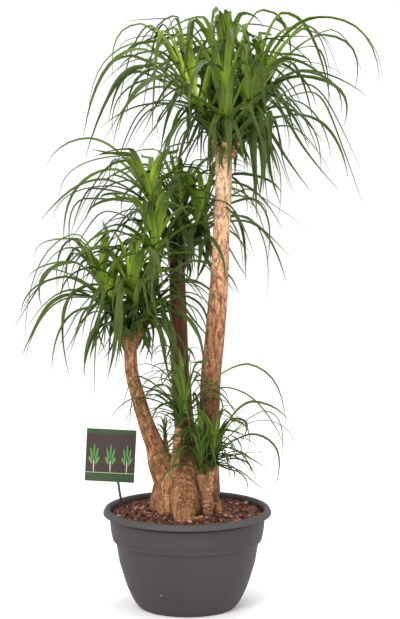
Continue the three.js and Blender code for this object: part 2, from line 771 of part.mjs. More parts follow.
function makeSoil() {
  const inside = potInside.slice(1).map(([radius, height]) => [radius - clearance, height]);
  const edge = openingRadius - 1.2 - clearance;
  const floor = potWall + clearance;
  const profile = [
    [0, floor],
    [inside.at(-1)[0] - clearance, floor],
    ...inside.slice(0, 3).reverse(),
    [edge - 0.4, soilLevel - 8],
    ...[edge, 138, 116, 95, 0].map((radius) => [radius, soilLevel]),
  ];
  const bare = turned(profile);
  bare.deleteAttribute('normal');
  bare.deleteAttribute('uv');
  const geometry = mergeVertices(bare, 1e-4);
  const random = seededRandom(77);
  const place = geometry.attributes.position;
  for (let i = 0; i < place.count; i += 1) {
    const radius = Math.hypot(place.getX(i), place.getY(i));
    if (place.getZ(i) > soilLevel - 1 && radius < edge - 1) {
      const heap = soilMound * THREE.MathUtils.smoothstep(edge - radius, 0, 70);
      place.setZ(i, place.getZ(i) + heap + chipRelief * (random() - 0.5) * 2);
    }
  }
  const standing = crowns.filter((crown) => crown.on === 'rightFront');
  const shoots = standing.map((crown) => shootLimb(crown, clearance));
  const sunk = [footLimb(clearance), toeLimb(clearance), ...shoots];
  const whole = solidFrom(geometry);
  const soil = sunk.reduce((rest, piece) => rest.subtract(solidFrom(limb(piece))), whole);
  return geometryFrom(soil.subtract(solidFrom(stakeBox(clearance))));
}

// ---- assembly ----

const finishes = {
  pot: new THREE.MeshStandardMaterial({ color: 0x58534f, roughness: 0.55, metalness: 0 }),
  soil: new THREE.MeshStandardMaterial({ color: 0x5b3426, roughness: 0.95, metalness: 0 }),
  bark: new THREE.MeshStandardMaterial({ color: 0xa87350, roughness: 0.85, metalness: 0 }),
  leaf: new THREE.MeshStandardMaterial({ color: 0x4c7a2a, roughness: 0.5, metalness: 0 }),
  card: new THREE.MeshStandardMaterial({ color: 0x3a2a26, roughness: 0.4, metalness: 0 }),
  stake: new THREE.MeshStandardMaterial({ color: 0x1c1c1c, roughness: 0.5, metalness: 0 }),
};

const group = new THREE.Group();

function addPiece(name, geometry, finish) {
  const mesh = new THREE.Mesh(geometry, finish.clone());
  mesh.name = name;
  group.add(mesh);
  return mesh;
}

addPiece('pot', makePot(), finishes.pot);
addPiece('soil', makeSoil(), finishes.soil);
addPiece('trunk', makeTrunk(), finishes.bark);

const card = addPiece(
  'label_card',
  new THREE.BoxGeometry(cardSize.width, cardSize.thickness, cardSize.height),
  finishes.card,
);
card.position.copy(cardCentre);
card.rotation.y = cardRoll;
addPiece('label_stake', stakeBox(), finishes.stake);

addTrunkObstacles();
addLabelObstacle();
const keyedByCrown = crowns.map(keyedLeaves);
const ruledByCrown = crowns.map(ruledLeaves);
crowns.forEach((crown, i) => {
  const leaves = [...keyedByCrown[i], ...ruledByCrown[i]].filter(Boolean);
  addPiece(crown.name, crownGeometry(crown, leaves), finishes.leaf);
});

export default group;
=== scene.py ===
import math
import bpy
import numpy as np
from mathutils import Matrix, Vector


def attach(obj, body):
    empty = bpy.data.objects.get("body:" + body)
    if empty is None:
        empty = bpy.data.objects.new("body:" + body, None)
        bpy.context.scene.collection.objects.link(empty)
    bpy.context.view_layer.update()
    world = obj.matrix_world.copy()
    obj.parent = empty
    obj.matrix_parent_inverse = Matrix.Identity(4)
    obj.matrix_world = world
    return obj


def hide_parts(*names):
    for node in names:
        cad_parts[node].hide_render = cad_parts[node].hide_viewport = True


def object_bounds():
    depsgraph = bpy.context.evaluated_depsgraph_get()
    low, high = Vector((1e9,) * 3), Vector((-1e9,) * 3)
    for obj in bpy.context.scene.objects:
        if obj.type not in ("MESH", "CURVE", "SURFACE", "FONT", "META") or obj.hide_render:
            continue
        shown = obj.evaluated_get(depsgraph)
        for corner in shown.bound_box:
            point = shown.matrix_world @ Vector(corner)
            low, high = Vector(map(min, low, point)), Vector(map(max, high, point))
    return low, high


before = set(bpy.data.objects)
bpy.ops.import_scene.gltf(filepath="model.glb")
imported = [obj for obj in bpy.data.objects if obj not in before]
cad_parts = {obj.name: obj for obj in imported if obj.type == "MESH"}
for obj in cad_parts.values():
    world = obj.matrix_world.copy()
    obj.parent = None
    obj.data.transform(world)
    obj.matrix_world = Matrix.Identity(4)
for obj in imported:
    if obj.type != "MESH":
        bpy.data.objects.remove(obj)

# A branched ponytail palm in a round planting bowl, in metres, +Z up.
# The origin is the centre of the bowl's flat base, and the front of the plant looks along -Y.

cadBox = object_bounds()
scene = bpy.context.scene
print("stage: frame loaded")


# Node trees, written as expressions.

class Value:  # one output socket: sums written on it add Math nodes
    def __init__(self, graph, socket):
        self.graph = graph
        self.socket = socket

    def maths(self, operation, *numbers):
        return self.graph.node("ShaderNodeMath", {"operation": operation}, numbers)

    def beside(self, name):  # another output of the same node
        return Value(self.graph, self.socket.node.outputs[name])

    def __add__(self, other):
        return self.maths("ADD", self, other)

    def __radd__(self, other):
        return self.maths("ADD", other, self)

    def __sub__(self, other):
        return self.maths("SUBTRACT", self, other)

    def __rsub__(self, other):
        return self.maths("SUBTRACT", other, self)

    def __mul__(self, other):
        return self.maths("MULTIPLY", self, other)

    def __rmul__(self, other):
        return self.maths("MULTIPLY", other, self)

    def __truediv__(self, other):
        return self.maths("DIVIDE", self, other)

    def __pow__(self, other):
        return self.maths("POWER", self, other)

    def __abs__(self):
        return self.maths("ABSOLUTE", self)

    def sine(self):
        return self.maths("SINE", self)

    def fraction(self):
        return self.maths("FRACT", self)

    def atLeast(self, other):
        return self.maths("MAXIMUM", self, other)

    def above(self, level):
        return self.maths("GREATER_THAN", self, level)

    def between(self, low, high):  # 0 at low, 1 at high, clamped and eased
        limits = {"From Min": low, "From Max": high, "Value": self}
        return self.graph.node("ShaderNodeMapRange", {"interpolation_type": "SMOOTHSTEP"}, limits)


class Graph:
    def __init__(self, tree):
        self.tree = tree

    def node(self, kind, settings=None, sockets=()):  # a list in sockets gives one socket several links
        made = self.tree.nodes.new(kind)
        for name, value in (settings or {}).items():
            if name == "stops":
                self.setStops(made.color_ramp, value)
            else:
                setattr(made, name, value)
        free = [socket for socket in made.inputs if socket.enabled]
        named = {socket.name: socket for socket in reversed(free)}
        pairs = sockets.items() if isinstance(sockets, dict) else enumerate(sockets)
        for key, value in pairs:
            socket = named[key] if isinstance(key, str) else free[key]
            for part in value if isinstance(value, list) else [value]:
                if isinstance(part, Value):
                    self.tree.links.new(part.socket, socket)
                else:
                    socket.default_value = part
        shown = [socket for socket in made.outputs if socket.enabled]
        return Value(self, shown[0]) if shown else None

    def setStops(self, ramp, stops):
        while len(ramp.elements) < len(stops):
            ramp.elements.new(1)
        for element, (position, colour) in zip(ramp.elements, stops):
            element.position = position
            element.color = (*colour, 1)


def stored(graph, name, kind="FLOAT"):  # a value that the mesh carries
    if graph.tree.type == "SHADER":
        carried = graph.node("ShaderNodeAttribute", {"attribute_name": name})
        return carried.beside("Fac" if kind == "FLOAT" else "Vector")
    return graph.node("GeometryNodeInputNamedAttribute", {"data_type": kind}, {"Name": name})


def vector(graph, x, y, z):
    return graph.node("ShaderNodeCombineXYZ", {}, (x, y, z))


def parted(graph, place):  # its X, with Y and Z beside it
    return graph.node("ShaderNodeSeparateXYZ", {}, (place,))


def vectorMaths(graph, operation, *places):
    return graph.node("ShaderNodeVectorMath", {"operation": operation}, places)


def scaled(graph, place, across, along):  # a place measured in units across and along the grain
    return vectorMaths(graph, "MULTIPLY", place, (1 / across, 1 / across, 1 / along))


def noise(graph, place, scale, detail=2, roughness=0.5):
    sockets = {"Vector": place, "Scale": scale, "Detail": detail, "Roughness": roughness}
    return graph.node("ShaderNodeTexNoise", {}, sockets)


def cells(graph, place, scale=1, feature="DISTANCE_TO_EDGE"):
    return graph.node("ShaderNodeTexVoronoi", {"feature": feature}, {"Vector": place, "Scale": scale})


def ramp(graph, value, stops):
    return graph.node("ShaderNodeValToRGB", {"stops": stops}, {"Fac": value})


def blend(graph, share, first, second, how="MIX"):
    settings = {"data_type": "RGBA", "blend_type": how}
    colours = [part if isinstance(part, Value) else (*part, 1) for part in (first, second)]
    return graph.node("ShaderNodeMix", settings, {"Factor": share, "A": colours[0], "B": colours[1]})


def bump(graph, height, depth, strength=1):
    return graph.node("ShaderNodeBump", {}, {"Height": height, "Distance": depth, "Strength": strength})


def objectPlace(graph):
    return graph.node("ShaderNodeTexCoord").beside("Object")


def finish(name, paint, **fixed):  # a material: paint gives its varying sockets, fixed the even ones
    made = bpy.data.materials.new(name)
    made.use_nodes = True
    made.node_tree.nodes.clear()
    graph = Graph(made.node_tree)
    even = {key.replace("_", " "): value for key, value in fixed.items()}
    surface = graph.node("ShaderNodeBsdfPrincipled", {}, {**even, **paint(graph)})
    graph.node("ShaderNodeOutputMaterial", {}, {"Surface": surface})
    return made


def circle(graph, points):
    return graph.node("GeometryNodeCurvePrimitiveCircle", {"mode": "RADIUS"}, {"Resolution": points})


def swept(graph, lines, section, scale):  # a section drawn along each line
    sockets = {"Curve": lines, "Profile Curve": section, "Scale": scale, "Fill Caps": True}
    return graph.node("GeometryNodeCurveToMesh", {}, sockets)


def kept(graph, shape, name, value, domain="POINT"):  # the shape, carrying one more value
    settings = {"data_type": "FLOAT", "domain": domain}
    sockets = {"Geometry": shape, "Name": name, "Value": value}
    return graph.node("GeometryNodeStoreNamedAttribute", settings, sockets)


def moved(graph, shape, offset):
    return graph.node("GeometryNodeSetPosition", {}, {"Geometry": shape, "Offset": offset})


def realized(graph, shape):
    return graph.node("GeometryNodeRealizeInstances", {}, (shape,))


def coated(graph, shape, given):  # in the material that the tree is given
    sockets = {"Geometry": shape, "Material": given["Material"]}
    return graph.node("GeometryNodeSetMaterial", {}, sockets)


def growthTree(title, inputs, build):  # its output is what build makes of its named inputs
    tree = bpy.data.node_groups.new(title, "GeometryNodeTree")
    tree.interface.new_socket(name="Geometry", in_out="OUTPUT", socket_type="NodeSocketGeometry")
    for name, kind in {"Geometry": "Geometry", **inputs}.items():
        tree.interface.new_socket(name=name, in_out="INPUT", socket_type="NodeSocket" + kind)
    graph = Graph(tree)
    entry = tree.nodes.new("NodeGroupInput")
    given = {socket.name: Value(graph, socket) for socket in entry.outputs if socket.name}
    graph.node("NodeGroupOutput", {}, {"Geometry": build(graph, given)})
    return tree


def plain(piece):  # what the modifiers make, as a plain mesh
    shapes = bpy.context.evaluated_depsgraph_get()
    shown = piece.evaluated_get(shapes)
    mesh = bpy.data.meshes.new_from_object(shown, preserve_all_data_layers=True, depsgraph=shapes)
    piece.modifiers.clear()
    piece.data = mesh
    return piece


def grown(piece, tree, values):  # what the tree makes of the piece
    modifier = piece.modifiers.new(tree.name, "NODES")
    modifier.node_group = tree
    for item in tree.interface.items_tree:
        if item.in_out == "INPUT" and item.name in values:
            modifier[item.identifier] = values[item.name]
    return plain(piece)


# Plain mesh work.

def meshPiece(name, points, faces=(), edges=()):
    mesh = bpy.data.meshes.new(name)
    mesh.from_pydata([tuple(point) for point in points], edges, faces)
    piece = bpy.data.objects.new(name, mesh)
    scene.collection.objects.link(piece)
    return piece


def carry(piece, name, values, kind="FLOAT"):  # one value for each corner
    layer = piece.data.attributes.new(name, kind, "POINT")
    field = "vector" if kind == "FLOAT_VECTOR" else "value"
    layer.data.foreach_set(field, np.asarray(values, np.float32).ravel())


def corners(piece):
    found = np.zeros(3 * len(piece.data.vertices), np.float32)
    piece.data.vertices.foreach_get("co", found)
    return found.reshape(-1, 3).astype(float)


def handOver(piece, material=None, node=None):  # a material only where its tree sets none
    if material:
        piece.data.materials.clear()
        piece.data.materials.append(material)
    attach(piece, "root")
    if node:
        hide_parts(node)


def roundAngles(count):
    return 2 * math.pi * np.arange(count) / count


def ringFaces(low, high, sides):  # the band of faces from one ring of points up to the next
    ahead = [(i, (i + 1) % sides) for i in range(sides)]
    return [(low + i, low + j, high + j, high + i) for i, j in ahead]


def evenly(values, shares):  # values at even steps, read at these shares of the way
    return np.interp(shares, np.linspace(0, 1, len(values)), values)


def roundedProfile(profile, radius, steps):  # each inner corner becomes a small curve
    profile = [np.array(point, float) for point in profile]
    made = [profile[0]]
    for before, corner, after in zip(profile, profile[1:], profile[2:]):
        ends = []
        for other in (before, after):
            side = np.linalg.norm(other - corner)
            ends.append(corner + (other - corner) / side * min(radius, 0.42 * side))
        made.extend(bezier(ends[0], corner, ends[1], np.linspace(0, 1, steps)))
    return made + [profile[-1]]


def turned(name, profile, segments):  # the profile starts and ends on the axis
    starts = []
    points = []
    for radius, height in profile:
        starts.append(len(points))
        for angle in roundAngles(segments if radius > 0 else 1):
            points.append((radius * math.cos(angle), radius * math.sin(angle), height))
    faces = []
    for low, high in zip(starts, starts[1:]):
        band = ringFaces(low, high, segments)
        if low == 0:
            band = [(0, *face[2:]) for face in band]
        elif high == len(points) - 1:
            band = [(*face[:2], high) for face in band]
        faces += band
    piece = meshPiece(name, points, faces)
    piece.data.shade_smooth()
    return piece


def curveThrough(points, shares):  # an even Catmull-Rom curve
    points = np.array(points, float)
    held = np.vstack([2 * points[0] - points[1], points, 2 * points[-1] - points[-2]])
    place = np.clip(shares, 0, 0.999999) * (len(points) - 1)
    index = place.astype(int)
    u = (place - index)[:, None]
    a, b, c, d = (held[index + k] for k in range(4))
    lower = 2 * b + (c - a) * u + (2 * a - 5 * b + 4 * c - d) * u ** 2
    return 0.5 * (lower + (3 * b - a - 3 * c + d) * u ** 3)


def bezier(a, b, c, shares):
    t = np.asarray(shares)[:, None]
    return (1 - t) ** 2 * a + 2 * t * (1 - t) * b + t ** 2 * c


def unit(direction):
    direction = np.array(direction, float)
    return direction / np.linalg.norm(direction)


def lengths(line):  # how far along the line each of its points is
    return np.append(0, np.cumsum(np.linalg.norm(np.diff(line, axis=0), axis=1)))


def seededRandom(seed):  # the same draws as the solids' own rule
    state = seed & 0xffffffff

    def draw():
        nonlocal state
        state = (state + 0x6d2b79f5) & 0xffffffff
        mixed = ((state ^ (state >> 15)) * (state | 1)) & 0xffffffff
        mixed ^= (mixed + (((mixed ^ (mixed >> 7)) * (mixed | 61)) & 0xffffffff)) & 0xffffffff
        return (mixed ^ (mixed >> 14)) / 4294967296
    return draw


# Camera, light and floor.

studio = {
    "cameraAcross": 0.0265, "cameraBack": 3.6, "cameraHeight": 1.002, "pitch": 83.97, "lens": 102.14,
    "skyColour": (1.0, 1.0, 1.0), "skyStrength": 1.08,
    "floorRadius": 30, "floorSides": 48, "floorColour": (0.93, 0.93, 0.93), "floorPaler": (0.95, 0.95, 0.95),
    "lampAim": (0.0, 0.0, 0.6),
}
lamps = {
    "keyLamp": {"place": (-1.3, -2.9, 2.5), "size": 1.2, "power": 85, "colour": (1.0, 0.97, 0.93)},
    "fillLamp": {"place": (2.3, -2.3, 1.5), "size": 2.0, "power": 22, "colour": (1.0, 0.99, 0.97)},
    "topLamp": {"place": (0.2, 0.4, 3.1), "size": 1.6, "power": 35, "colour": (1.0, 1.0, 0.98)},
}


def makeStudio():
    camera = bpy.data.objects.new("photoCamera", bpy.data.cameras.new("photoCamera"))
    camera.location = (studio["cameraAcross"], -studio["cameraBack"], studio["cameraHeight"])
    camera.rotation_euler = (math.radians(studio["pitch"]), 0, 0)
    camera.data.lens = studio["lens"]
    scene.collection.objects.link(camera)
    scene.camera = camera
    for name, lamp in lamps.items():
        light = bpy.data.lights.new(name, "AREA")
        light.size = lamp["size"]
        light.energy = lamp["power"]
        light.color = lamp["colour"]
        holder = bpy.data.objects.new(name, light)
        holder.location = lamp["place"]
        aim = Vector(studio["lampAim"]) - Vector(lamp["place"])
        holder.rotation_euler = aim.to_track_quat("-Z", "Y").to_euler()
        scene.collection.objects.link(holder)
    sky = bpy.data.worlds.new("studioSky")
    sky.use_nodes = True
    background = sky.node_tree.nodes["Background"]
    background.inputs["Color"].default_value = (*studio["skyColour"], 1)
    background.inputs["Strength"].default_value = studio["skyStrength"]
    scene.world = sky
    scene.view_settings.view_transform = "Standard"


def makeFloor():
    around = roundAngles(studio["floorSides"])
    rim = studio["floorRadius"] * np.stack([np.cos(around), np.sin(around), 0 * around], 1)
    floor = meshPiece("floor", rim, [tuple(range(len(rim)))])

    def paint(graph):
        clouds = noise(graph, objectPlace(graph), 3)
        stops = [(0.2, studio["floorColour"]), (0.8, studio["floorPaler"])]
        return {"Base Color": ramp(graph, clouds, stops)}
    floor.data.materials.append(finish("paleFloor", paint, Roughness=0.8))


makeStudio()
makeFloor()
print("stage: studio ready")


# The pot.

pot = {
    "height": 0.208, "wall": 0.003, "segments": 128,
    "lipRadius": 0.1755, "lipDrop": 0.0128, "lipWidth": 0.015, "openingRadius": 0.16,
    "stepHeight": 0.1405, "footRadius": 0.099,
    "drainHoles": 6, "drainRadius": 0.005, "drainCircle": 0.062,
    "notches": 4, "notchTurn": 21, "notchDepth": 0.006, "notchWidth": 0.022, "notchHeight": 0.0022,
    "drillSides": 24, "creaseDepth": 0.0006, "sharpAngle": 42,
    "colour": (0.04, 0.034, 0.034), "paler": (0.053, 0.046, 0.045), "dust": (0.06, 0.048, 0.045),
    # the shade colour is painted shadow under the lip and in the step creases; the lip colour is a painted
    # highlight on the lip's top
    "shade": (0.016, 0.013, 0.013), "lipHighlight": (0.068, 0.062, 0.061),
    "scuff": (-0.0525, -0.118, 0.05), "scuffTone": (0.3, 0.28, 0.27),
}


def potProfile():
    top = pot["height"]
    step = pot["stepHeight"]
    under = top - pot["lipDrop"]
    outer = pot["lipRadius"]
    inner = outer - pot["wall"]
    opening = pot["openingRadius"]
    crease = pot["creaseDepth"]
    side = [
        (pot["footRadius"], 0), (0.104, 0.003), (0.113, 0.015), (0.127, 0.045), (0.142, 0.095),
        (0.1488, step - 0.0045), (0.1487, step - 0.003), (0.1552, step + 0.0005), (0.156, step + 0.003),
        (0.157, step + 0.0082), (0.1571 - crease, step + 0.0088), (0.1575, step + 0.01),
        (0.1583, step + 0.0142), (0.1583 - 0.6 * crease, step + 0.0147), (0.1588, step + 0.0153),
        (0.1627, under - 0.004), (0.1614, under - 0.0034), (0.1616, under),
    ]
    lip = [
        (opening + 0.0032, top - 0.006), (opening + 0.008, top - pot["wall"]), (inner - 0.0005, top - 0.008),
        (inner, under), (outer - 0.0004, under), (outer, top - 0.01), (outer - 0.0045, top - 0.001),
        (outer - pot["lipWidth"] + 0.0025, top - 0.0005), (opening, top - 0.006),
    ]
    inside = [
        (opening - 0.0002, under), (0.154, step + 0.009), (0.146, step - 0.008), (0.139, 0.095),
        (0.124, 0.045), (0.097, pot["wall"]),
    ]
    lower = roundedProfile([(0, 0), *side[:5]], 0.02, 5)
    upper = roundedProfile([side[4], *side[5:], *lip, *inside, (0, pot["wall"])], 0.0016, 4)
    return [*lower[:-1], *upper]


def potPaint(graph):
    place = objectPlace(graph)
    grain = noise(graph, place, 900, 2)
    clouds = noise(graph, place, 9, 3)
    x = parted(graph, place)
    y, height = x.beside("Y"), x.beside("Z")
    scratches = noise(graph, vector(graph, x * 40, y * 40, height * 400), 3, 2).between(0.62, 0.8)
    offset = vectorMaths(graph, "DISTANCE", place, pot["scuff"]).beside("Value")
    scuffed = 1 - offset.between(0.0012, 0.0032)
    dusty = (1 - height.between(0, 0.05)) * 0.35
    tone = blend(graph, clouds.between(0.3, 0.75) * 0.5 + scratches * 0.2, pot["colour"], pot["paler"])
    tone = blend(graph, dusty, tone, pot["dust"])
    tone = blend(graph, scuffed * 0.7, tone, pot["scuffTone"])
    # painted shadow in a band on the wall under the lip's overhang
    inward = 1 - ((x * x + y * y) ** 0.5).between(0.1655, 0.168)
    underLipShadow = height.between(0.188, 0.1908) * (1 - height.between(0.1954, 0.1972)) * inward
    # painted shade in the two creases of the step ring
    step = height - pot["stepHeight"]
    crease = step.between(0.0076, 0.0086) * (1 - step.between(0.0089, 0.0096))
    crease = crease + step.between(0.0139, 0.0146) * (1 - step.between(0.0148, 0.0154)) * 0.6
    # painted highlight along the top of the lip
    tone = blend(graph, height.between(0.194, 0.2) * 0.6, tone, pot["lipHighlight"])
    tone = blend(graph, underLipShadow * 0.8 + crease * 0.4, tone, pot["shade"])
    return {
        "Base Color": tone,
        "Roughness": 0.56 + 0.12 * clouds + scratches * 0.08,
        "Normal": bump(graph, grain * 0.6 + clouds * 0.4, 0.00025, 0.5),
    }


def potDrills():  # what the drainage holes and the notches under the foot are cut with
    cutters = []
    for i in range(pot["drainHoles"]):
        angle = 2 * math.pi * (i + 0.5) / pot["drainHoles"]
        cutters.append((pot["drainCircle"], angle, pot["drainRadius"], pot["drainRadius"], 4 * pot["wall"]))
    for i in range(pot["notches"]):
        angle = math.radians(pot["notchTurn"] - 90 + 360 * i / pot["notches"])
        size = (pot["notchDepth"], pot["notchWidth"] / 2, 2 * pot["notchHeight"])
        cutters.append((pot["footRadius"], angle, *size))
    points = []
    faces = []
    sides = pot["drillSides"]
    for reach, turn, deep, wide, tall in cutters:
        low = len(points)
        high = low + sides
        for height in (-tall / 2, tall / 2):
            for angle in roundAngles(sides):
                x, y = deep * math.cos(angle), wide * math.sin(angle)
                across = (x * math.cos(turn) - y * math.sin(turn), x * math.sin(turn) + y * math.cos(turn))
                middle = (reach * math.cos(turn), reach * math.sin(turn))
                points.append((middle[0] + across[0], middle[1] + across[1], height))
        faces.append(tuple(reversed(range(low, high))))
        faces.append(tuple(range(high, high + sides)))
        faces += ringFaces(low, high, sides)
    return meshPiece("potDrills", points, faces)


def makePot():
    piece = turned("plantingBowl", potProfile(), pot["segments"])
    drills = potDrills()
    modifier = piece.modifiers.new("drain", "BOOLEAN")
    modifier.object = drills
    modifier.solver = "EXACT"
    plain(piece)
    bpy.data.objects.remove(drills)
    piece.data.shade_smooth()
    piece.data.set_sharp_from_angle(angle=math.radians(pot["sharpAngle"]))
    handOver(piece, finish("anthracitePlastic", potPaint, Specular_IOR_Level=0.25), "pot")


makePot()
print("stage: pot made")


# The soil, with loose bark chips on it.

soil = {
    "level": 0.192, "mound": 0.008, "edge": 0.158, "relief": 0.0022, "heapReach": 0.07,
    "rings": 40, "segments": 96,
    "inside": [(0.0968, 0.00335), (0.1236, 0.045), (0.1386, 0.095), (0.1455, 0.1325), (0.1535, 0.1495)],
    "crumbs": [(0.2, (0.008, 0.004, 0.003)), (0.8, (0.04, 0.017, 0.01))],
}
chips = {
    "density": 42000, "seed": 5, "length": (0.005, 0.022), "width": (0.003, 0.011),
    "thickness": (0.0016, 0.005), "tilt": 0.75, "warp": 0.0045,
    "scatter": (0.03, 0.1505), "rings": 18, "sides": 72, "lift": 0.001,
    "colours": [
        (0, (0.012, 0.005, 0.004)), (0.3, (0.05, 0.018, 0.011)), (0.6, (0.13, 0.045, 0.026)),
        (0.84, (0.2, 0.085, 0.05)), (0.93, (0.36, 0.2, 0.13)), (1, (0.6, 0.47, 0.4)),
    ],
}


def soilHeight(x, y):
    radius = np.hypot(x, y)
    share = np.clip((soil["edge"] - radius) / soil["heapReach"], 0, 1)
    waves = np.sin(90 * x + 2) * np.sin(75 * y) + 0.6 * np.sin(170 * x - 120 * y)
    heap = soil["mound"] * share ** 2 * (3 - 2 * share)
    return soil["level"] + heap + soil["relief"] * 0.5 * waves * np.clip(share * 4, 0, 1)


def soilPaint(graph):
    place = objectPlace(graph)
    crumbs = cells(graph, place, 260, "F1")
    colour = ramp(graph, noise(graph, place, 60, 3) * 0.6 + crumbs * 0.5, soil["crumbs"])
    return {"Base Color": colour, "Normal": bump(graph, crumbs, 0.002)}


def chipPaint(graph):
    place = objectPlace(graph)
    fibre = noise(graph, place, 420, 3)
    patches = noise(graph, place, 45, 2)
    tone = stored(graph, "tone") * 0.9 + fibre * 0.4 - 0.2 + patches * 0.1
    colour = ramp(graph, tone, chips["colours"])
    return {"Base Color": colour, "Roughness": 0.62 + fibre * 0.3, "Normal": bump(graph, fibre, 0.0012)}


def buildChips(graph, given):
    sockets = {"Mesh": given["Geometry"], "Density": given["Density"], "Seed": given["Seed"]}
    points = graph.node("GeometryNodeDistributePointsOnFaces", {"distribute_method": "RANDOM"}, sockets)
    chip = graph.node("GeometryNodeMeshCube", {}, {"Vertices X": 4, "Vertices Y": 3, "Vertices Z": 2})

    def drawn(seed, limits=(0, 1), kind="FLOAT"):
        draw = {"Min": limits[0], "Max": limits[1], "Seed": seed}
        return graph.node("FunctionNodeRandomValue", {"data_type": kind}, draw)
    sizes = [drawn(11 + i, chips[side]) for i, side in enumerate(("length", "width", "thickness"))]
    tilt = chips["tilt"]
    angles = drawn(21, ((-tilt, -tilt, 0), (tilt, tilt, 2 * math.pi)), "FLOAT_VECTOR")
    turn = graph.node("FunctionNodeEulerToRotation", {}, (angles,))
    sockets = {"Points": points, "Instance": chip, "Rotation": turn, "Scale": vector(graph, *sizes)}
    placed = graph.node("GeometryNodeInstanceOnPoints", {}, sockets)
    loose = realized(graph, kept(graph, placed, "tone", drawn(31), "INSTANCE"))
    field = noise(graph, graph.node("GeometryNodeInputPosition"), 160, 2).beside("Color")
    centred = vectorMaths(graph, "SUBTRACT", field, (0.5, 0.5, 0.5))
    warp = vectorMaths(graph, "SCALE", centred, given["Warp"])
    return coated(graph, moved(graph, loose, warp), given)


def makeSoil():
    inside = soil["inside"]
    profile = [(0, inside[0][1]), *inside, (soil["edge"], soil["level"] - 0.008)]
    profile += [(radius, soil["level"]) for radius in np.linspace(soil["edge"], 0, soil["rings"])]
    bed = turned("pottingSoil", profile, soil["segments"])
    points = corners(bed)
    top = points[:, 2] > soil["level"] - 0.001
    points[top, 2] = soilHeight(points[top, 0], points[top, 1])
    bed.data.vertices.foreach_set("co", points.astype(np.float32).ravel())
    handOver(bed, finish("darkSoil", soilPaint, Roughness=0.95, Specular_IOR_Level=0.2), "soil")


def makeChips():  # strewn over a ring-shaped sheet that follows the soil
    sides = chips["sides"]
    radii = np.linspace(*chips["scatter"], chips["rings"])
    grid = np.array([(r * math.cos(a), r * math.sin(a), 0) for r in radii for a in roundAngles(sides)])
    grid[:, 2] = soilHeight(grid[:, 0], grid[:, 1]) + chips["lift"]
    faces = []
    for low in range(0, len(grid) - sides, sides):
        high = low + sides
        faces += [(low + i, high + i, high + (i + 1) % sides, low + (i + 1) % sides) for i in range(sides)]
    piece = meshPiece("barkChips", grid, faces)
    inputs = {"Density": "Float", "Seed": "Int", "Warp": "Float", "Material": "Material"}
    values = {
        "Density": chips["density"], "Seed": chips["seed"], "Warp": chips["warp"],
        "Material": finish("reddishBark", chipPaint, Specular_IOR_Level=0.25),
    }
    grown(piece, growthTree("chipTree", inputs, buildChips), values)
    handOver(piece)


makeSoil()
makeChips()
print("stage: soil made")


# How the plant stands: its trunks, its shoots and the crown at each shoot's end.

trunks = {
    "tall": {
        "route": [
            (0.044, 0.004, 0.235), (0.043, 0.002, 0.29), (0.042, 0, 0.349), (0.0455, -0.003, 0.4),
            (0.049, -0.004, 0.485), (0.0554, -0.004, 0.548), (0.0623, -0.004, 0.631), (0.067, -0.004, 0.7),
            (0.07, -0.004, 0.78), (0.074, -0.004, 0.86), (0.0754, -0.004, 0.953),
        ],
        "radii": [0.025, 0.023, 0.022, 0.0215, 0.021, 0.0205, 0.02, 0.0185, 0.017, 0.017, 0.0165],
    },
    "middle": {
        "route": [
            (0.005, 0.026, 0.235), (0.002, 0.035, 0.295), (-0.008, 0.048, 0.391), (-0.013, 0.052, 0.448),
            (-0.016, 0.054, 0.505), (-0.018, 0.055, 0.583), (-0.0205, 0.055, 0.661), (-0.0215, 0.055, 0.712),
        ],
        "radii": [0.024, 0.022, 0.021, 0.02, 0.019, 0.018, 0.017, 0.016],
    },
    "left": {
        "route": [
            (-0.026, 0, 0.235), (-0.042, -0.008, 0.275), (-0.056, -0.014, 0.307), (-0.068, -0.018, 0.344),
            (-0.086, -0.02, 0.392), (-0.103, -0.022, 0.451), (-0.114, -0.024, 0.497), (-0.117, -0.025, 0.56),
        ],
        "radii": [0.033, 0.031, 0.026, 0.019, 0.016, 0.0145, 0.0135, 0.013],
    },
}
lowShoots = {
    "centre": {"from": (-0.026, -0.038, 0.285), "radii": [0.011, 0.009, 0.008, 0.0075]},
    "rightFront": {"from": (0.036, -0.034, 0.15), "via": (0.043, -0.056, 0.225),
                   "radii": [0.0125, 0.0115, 0.0105, 0.0095, 0.0075]},
    "rightSide": {"from": (0.042, -0.052, 0.25), "radii": [0.012, 0.011, 0.009, 0.008]},
    "sprout": {"from": (-0.044, 0.005, 0.29), "radii": [0.009, 0.008, 0.006]},
}
bareShoot = 0.046  # bare length of a shoot on top of a trunk: leaves sheathe the rest

